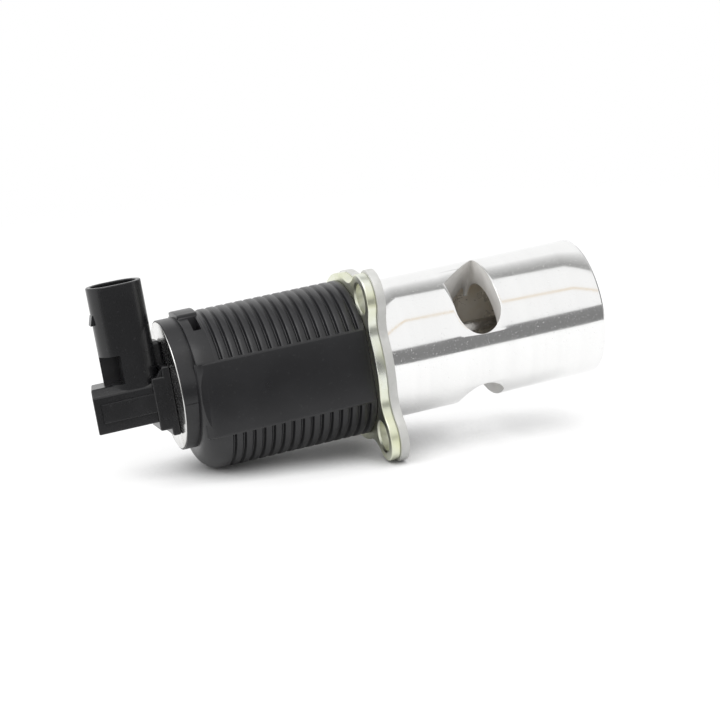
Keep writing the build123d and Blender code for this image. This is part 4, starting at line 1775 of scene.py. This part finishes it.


# Painted reflections: glowing cards seen only in glossy surfaces, giving a dark band from low in front, a tan
# strip above the front, a grey-to-white top and a dark side.
REFLECTION_CARDS = (
    Card("dark_band_reflection_card", ((-400, -25, -10), (500, -187, -95), (-2600, -2000, 110), (2600, -2000, 110)),
         (0.23, 0.23, 0.23), (0.26, 0.26, 0.26)),
    Card("tan_strip_reflection_card", ((-21, -331, 544), (495, -520, 224), (-37, -301, 584), (479, -490, 264)),
         (0.84, 0.73, 0.58), (0.86, 0.76, 0.64)),
    Card("top_gradient_reflection_card", ((-130, 450, 780), (760, -490, 760), (20, 860, 770), (880, 40, 770)),
         (0.28, 0.28, 0.275), (1.0, 1.0, 1.0)),
    Card("dark_side_reflection_card", ((900, -120, -160), (480, 900, -160), (900, -120, 190), (480, 900, 190)),
         (0.14, 0.14, 0.14), (0.18, 0.18, 0.18)),
)
KEY_LAMP = Lamp("key_lamp", (-250, -350, 700), (0, 0, 0), 500, 1.5)


@dataclass
class Studio:
    """White floor and sky, a soft lamp, and cards that only reflections see."""

    floor_point: Point = (-2.8, 0.0, -30.6)
    floor_normal: Point = (0.098, -0.075, 0.992)
    floor_half: float = 0.9
    floor_colour: Colour = (0.34, 0.34, 0.34)
    fade: Spot = (260.0, 620.0)
    # The floor's white glow fades by occlusion within this reach and range, painting shade round the part.
    contact: float = 30.0
    painted_shade_range: Spot = (0.10, 0.62)
    lift: float = 0.72
    sky: float = 0.95
    cards: tuple[Card, ...] = REFLECTION_CARDS
    lamps: tuple[Lamp, ...] = (KEY_LAMP,)
    camera_place: Point = (-176.6, -613.7, 108.6)
    camera_axes: tuple[Point, Point, Point] = ((0.9398, -0.2965, -0.1699), (0.2116, 0.1146, 0.9706),
                                               (-0.2683, -0.9481, 0.1705))
    lens: float = 100.047
    sensor: float = 36.0

    def floor_frame(self) -> Matrix:
        """Return the turn from flat ground to the tilted floor."""
        return Vector((0, 0, 1)).rotation_difference(Vector(self.floor_normal)).to_matrix().to_4x4()

    def floor_material(self) -> bpy.types.Material:
        """Build the floor's finish: a grey floor that catches the part's real shadow, under a white glow to
        the camera and mirrors that fades where the part is near, painting shade round it.

        Returns:
            The material.
        """
        material, board, shader = start_material("Floor")
        shader.inputs["Base Color"].default_value = (*self.floor_colour, 1.0)
        seen = seen_rays(board)
        # Painted shade: the glow fades by ambient occlusion near the part, darkening the floor round it on
        # top of its real shadow.
        painted_shade_ao = board.add("AmbientOcclusion", {"Distance": self.contact * MM}, samples=8).outputs["AO"]
        share = board.sum("MULTIPLY", board.spread(painted_shade_ao, *self.painted_shade_range), self.lift)
        board.tree.links.new(board.sum("MULTIPLY", seen, share), shader.inputs["Emission Strength"])
        shader.inputs["Emission Color"].default_value = (1.0, 1.0, 1.0, 1.0)
        place = board.add("TexCoord").outputs["Object"]
        away = board.add("VectorMath", {0: place}, operation="LENGTH").outputs["Value"]
        above = board.sum("SUBTRACT", 1.0, board.add("NewGeometry").outputs["Backfacing"])
        ground = board.spread(away, self.fade[0] * MM, self.fade[1] * MM, 1.0, 0.0)
        board.tree.links.new(board.sum("MULTIPLY", above, ground), shader.inputs["Alpha"])
        shader.inputs["Roughness"].default_value = 0.9
        shader.inputs["Specular IOR Level"].default_value = 0.1
        return material

    def floor(self) -> bpy.types.Object:
        """Lay the floor plane.

        Returns:
            The floor.
        """
        clear_bench()
        bpy.ops.mesh.primitive_plane_add(size=2 * self.floor_half)
        floor = bpy.context.active_object
        floor.name = "floor"
        floor.matrix_world = Matrix.Translation(Vector(self.floor_point) * MM) @ self.floor_frame()
        floor.data.materials.append(self.floor_material())
        return floor

    def sky_light(self) -> None:
        """Make the sky white to the camera and to mirrors, and softer as a light."""
        world = bpy.data.worlds.new("Studio sky")
        world.use_nodes = True
        world.node_tree.nodes.clear()
        bpy.context.scene.world = world
        board = NodeBoard(world.node_tree)
        strength = board.spread(seen_rays(board), 0.0, 1.0, self.sky, 1.0)
        glow = board.add("Background", {"Color": (1.0, 1.0, 1.0, 1.0), "Strength": strength})
        board.add("OutputWorld", {"Surface": glow.outputs[0]})

    def camera(self) -> bpy.types.Object:
        """Place the camera and make it the scene's own.

        Returns:
            The camera.
        """
        right, up, back = (Vector(axis) for axis in self.camera_axes)
        turn_to = Matrix((right, up, back)).transposed().to_4x4()
        clear_bench()
        bpy.ops.object.camera_add()
        camera = bpy.context.active_object
        camera.matrix_world = Matrix.Translation(Vector(self.camera_place) * MM) @ turn_to
        camera.data.lens = self.lens
        camera.data.sensor_width = self.sensor
        camera.data.clip_start = 0.01
        bpy.context.scene.camera = camera
        return camera

    def make(self) -> None:
        """Set up the floor, the sky, the cards, the lamps and the camera."""
        self.floor()
        self.sky_light()
        for hung in (*self.cards, *self.lamps):
            hung.hang()
        self.camera()
        bpy.context.scene.view_settings.view_transform = "Standard"


# ---------------------------------------------------------------- the valve


class Valve:
    """The whole valve: modelled pieces in place of the outer CAD nodes, and finishes on the others."""

    def __init__(self) -> None:
        """Make the finishes and the plans of the pieces."""
        self.finishes = Finishes()
        kinds = (ValveBody, FlangePlate, SolenoidHousing, EndPlate, SensorCover, PlugContacts, SeatRing,
                 Poppet, Stem)
        self.plans = [kind(self.finishes) for kind in kinds]
        self.plans += [
            CoilSpring(self.finishes, "return_spring", Body.LIFTER, start=-9.25, end=8.25, fixed_x=9.0,
                       moving_x=-9.9, coil_r=6.3, wire_r=0.6, turns=5),
            CoilSpring(self.finishes, "sensor_spring", Body.SLIDER, start=-87.0, end=-82.5, fixed_x=-87.4,
                       moving_x=-82.2, coil_r=1.9, wire_r=0.25, turns=6),
        ]

    def make(self) -> list[bpy.types.Object]:
        """Build the pieces and dress the CAD nodes that stay in view.

        Returns:
            The new pieces.
        """
        made = [plan.make() for plan in self.plans]
        for name, finish in self.finishes.inside().items():
            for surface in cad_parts[name].material_slots:
                surface.material = finish
            log.info("%s: finished as %s", name, finish.name)
        return made


def main() -> None:
    """Build the studio and the valve."""
    logging.basicConfig(level=logging.INFO, format="%(name)s: %(message)s")
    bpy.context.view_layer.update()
    Valve().make()
    Studio().make()


if __name__ == "__main__":
    main()
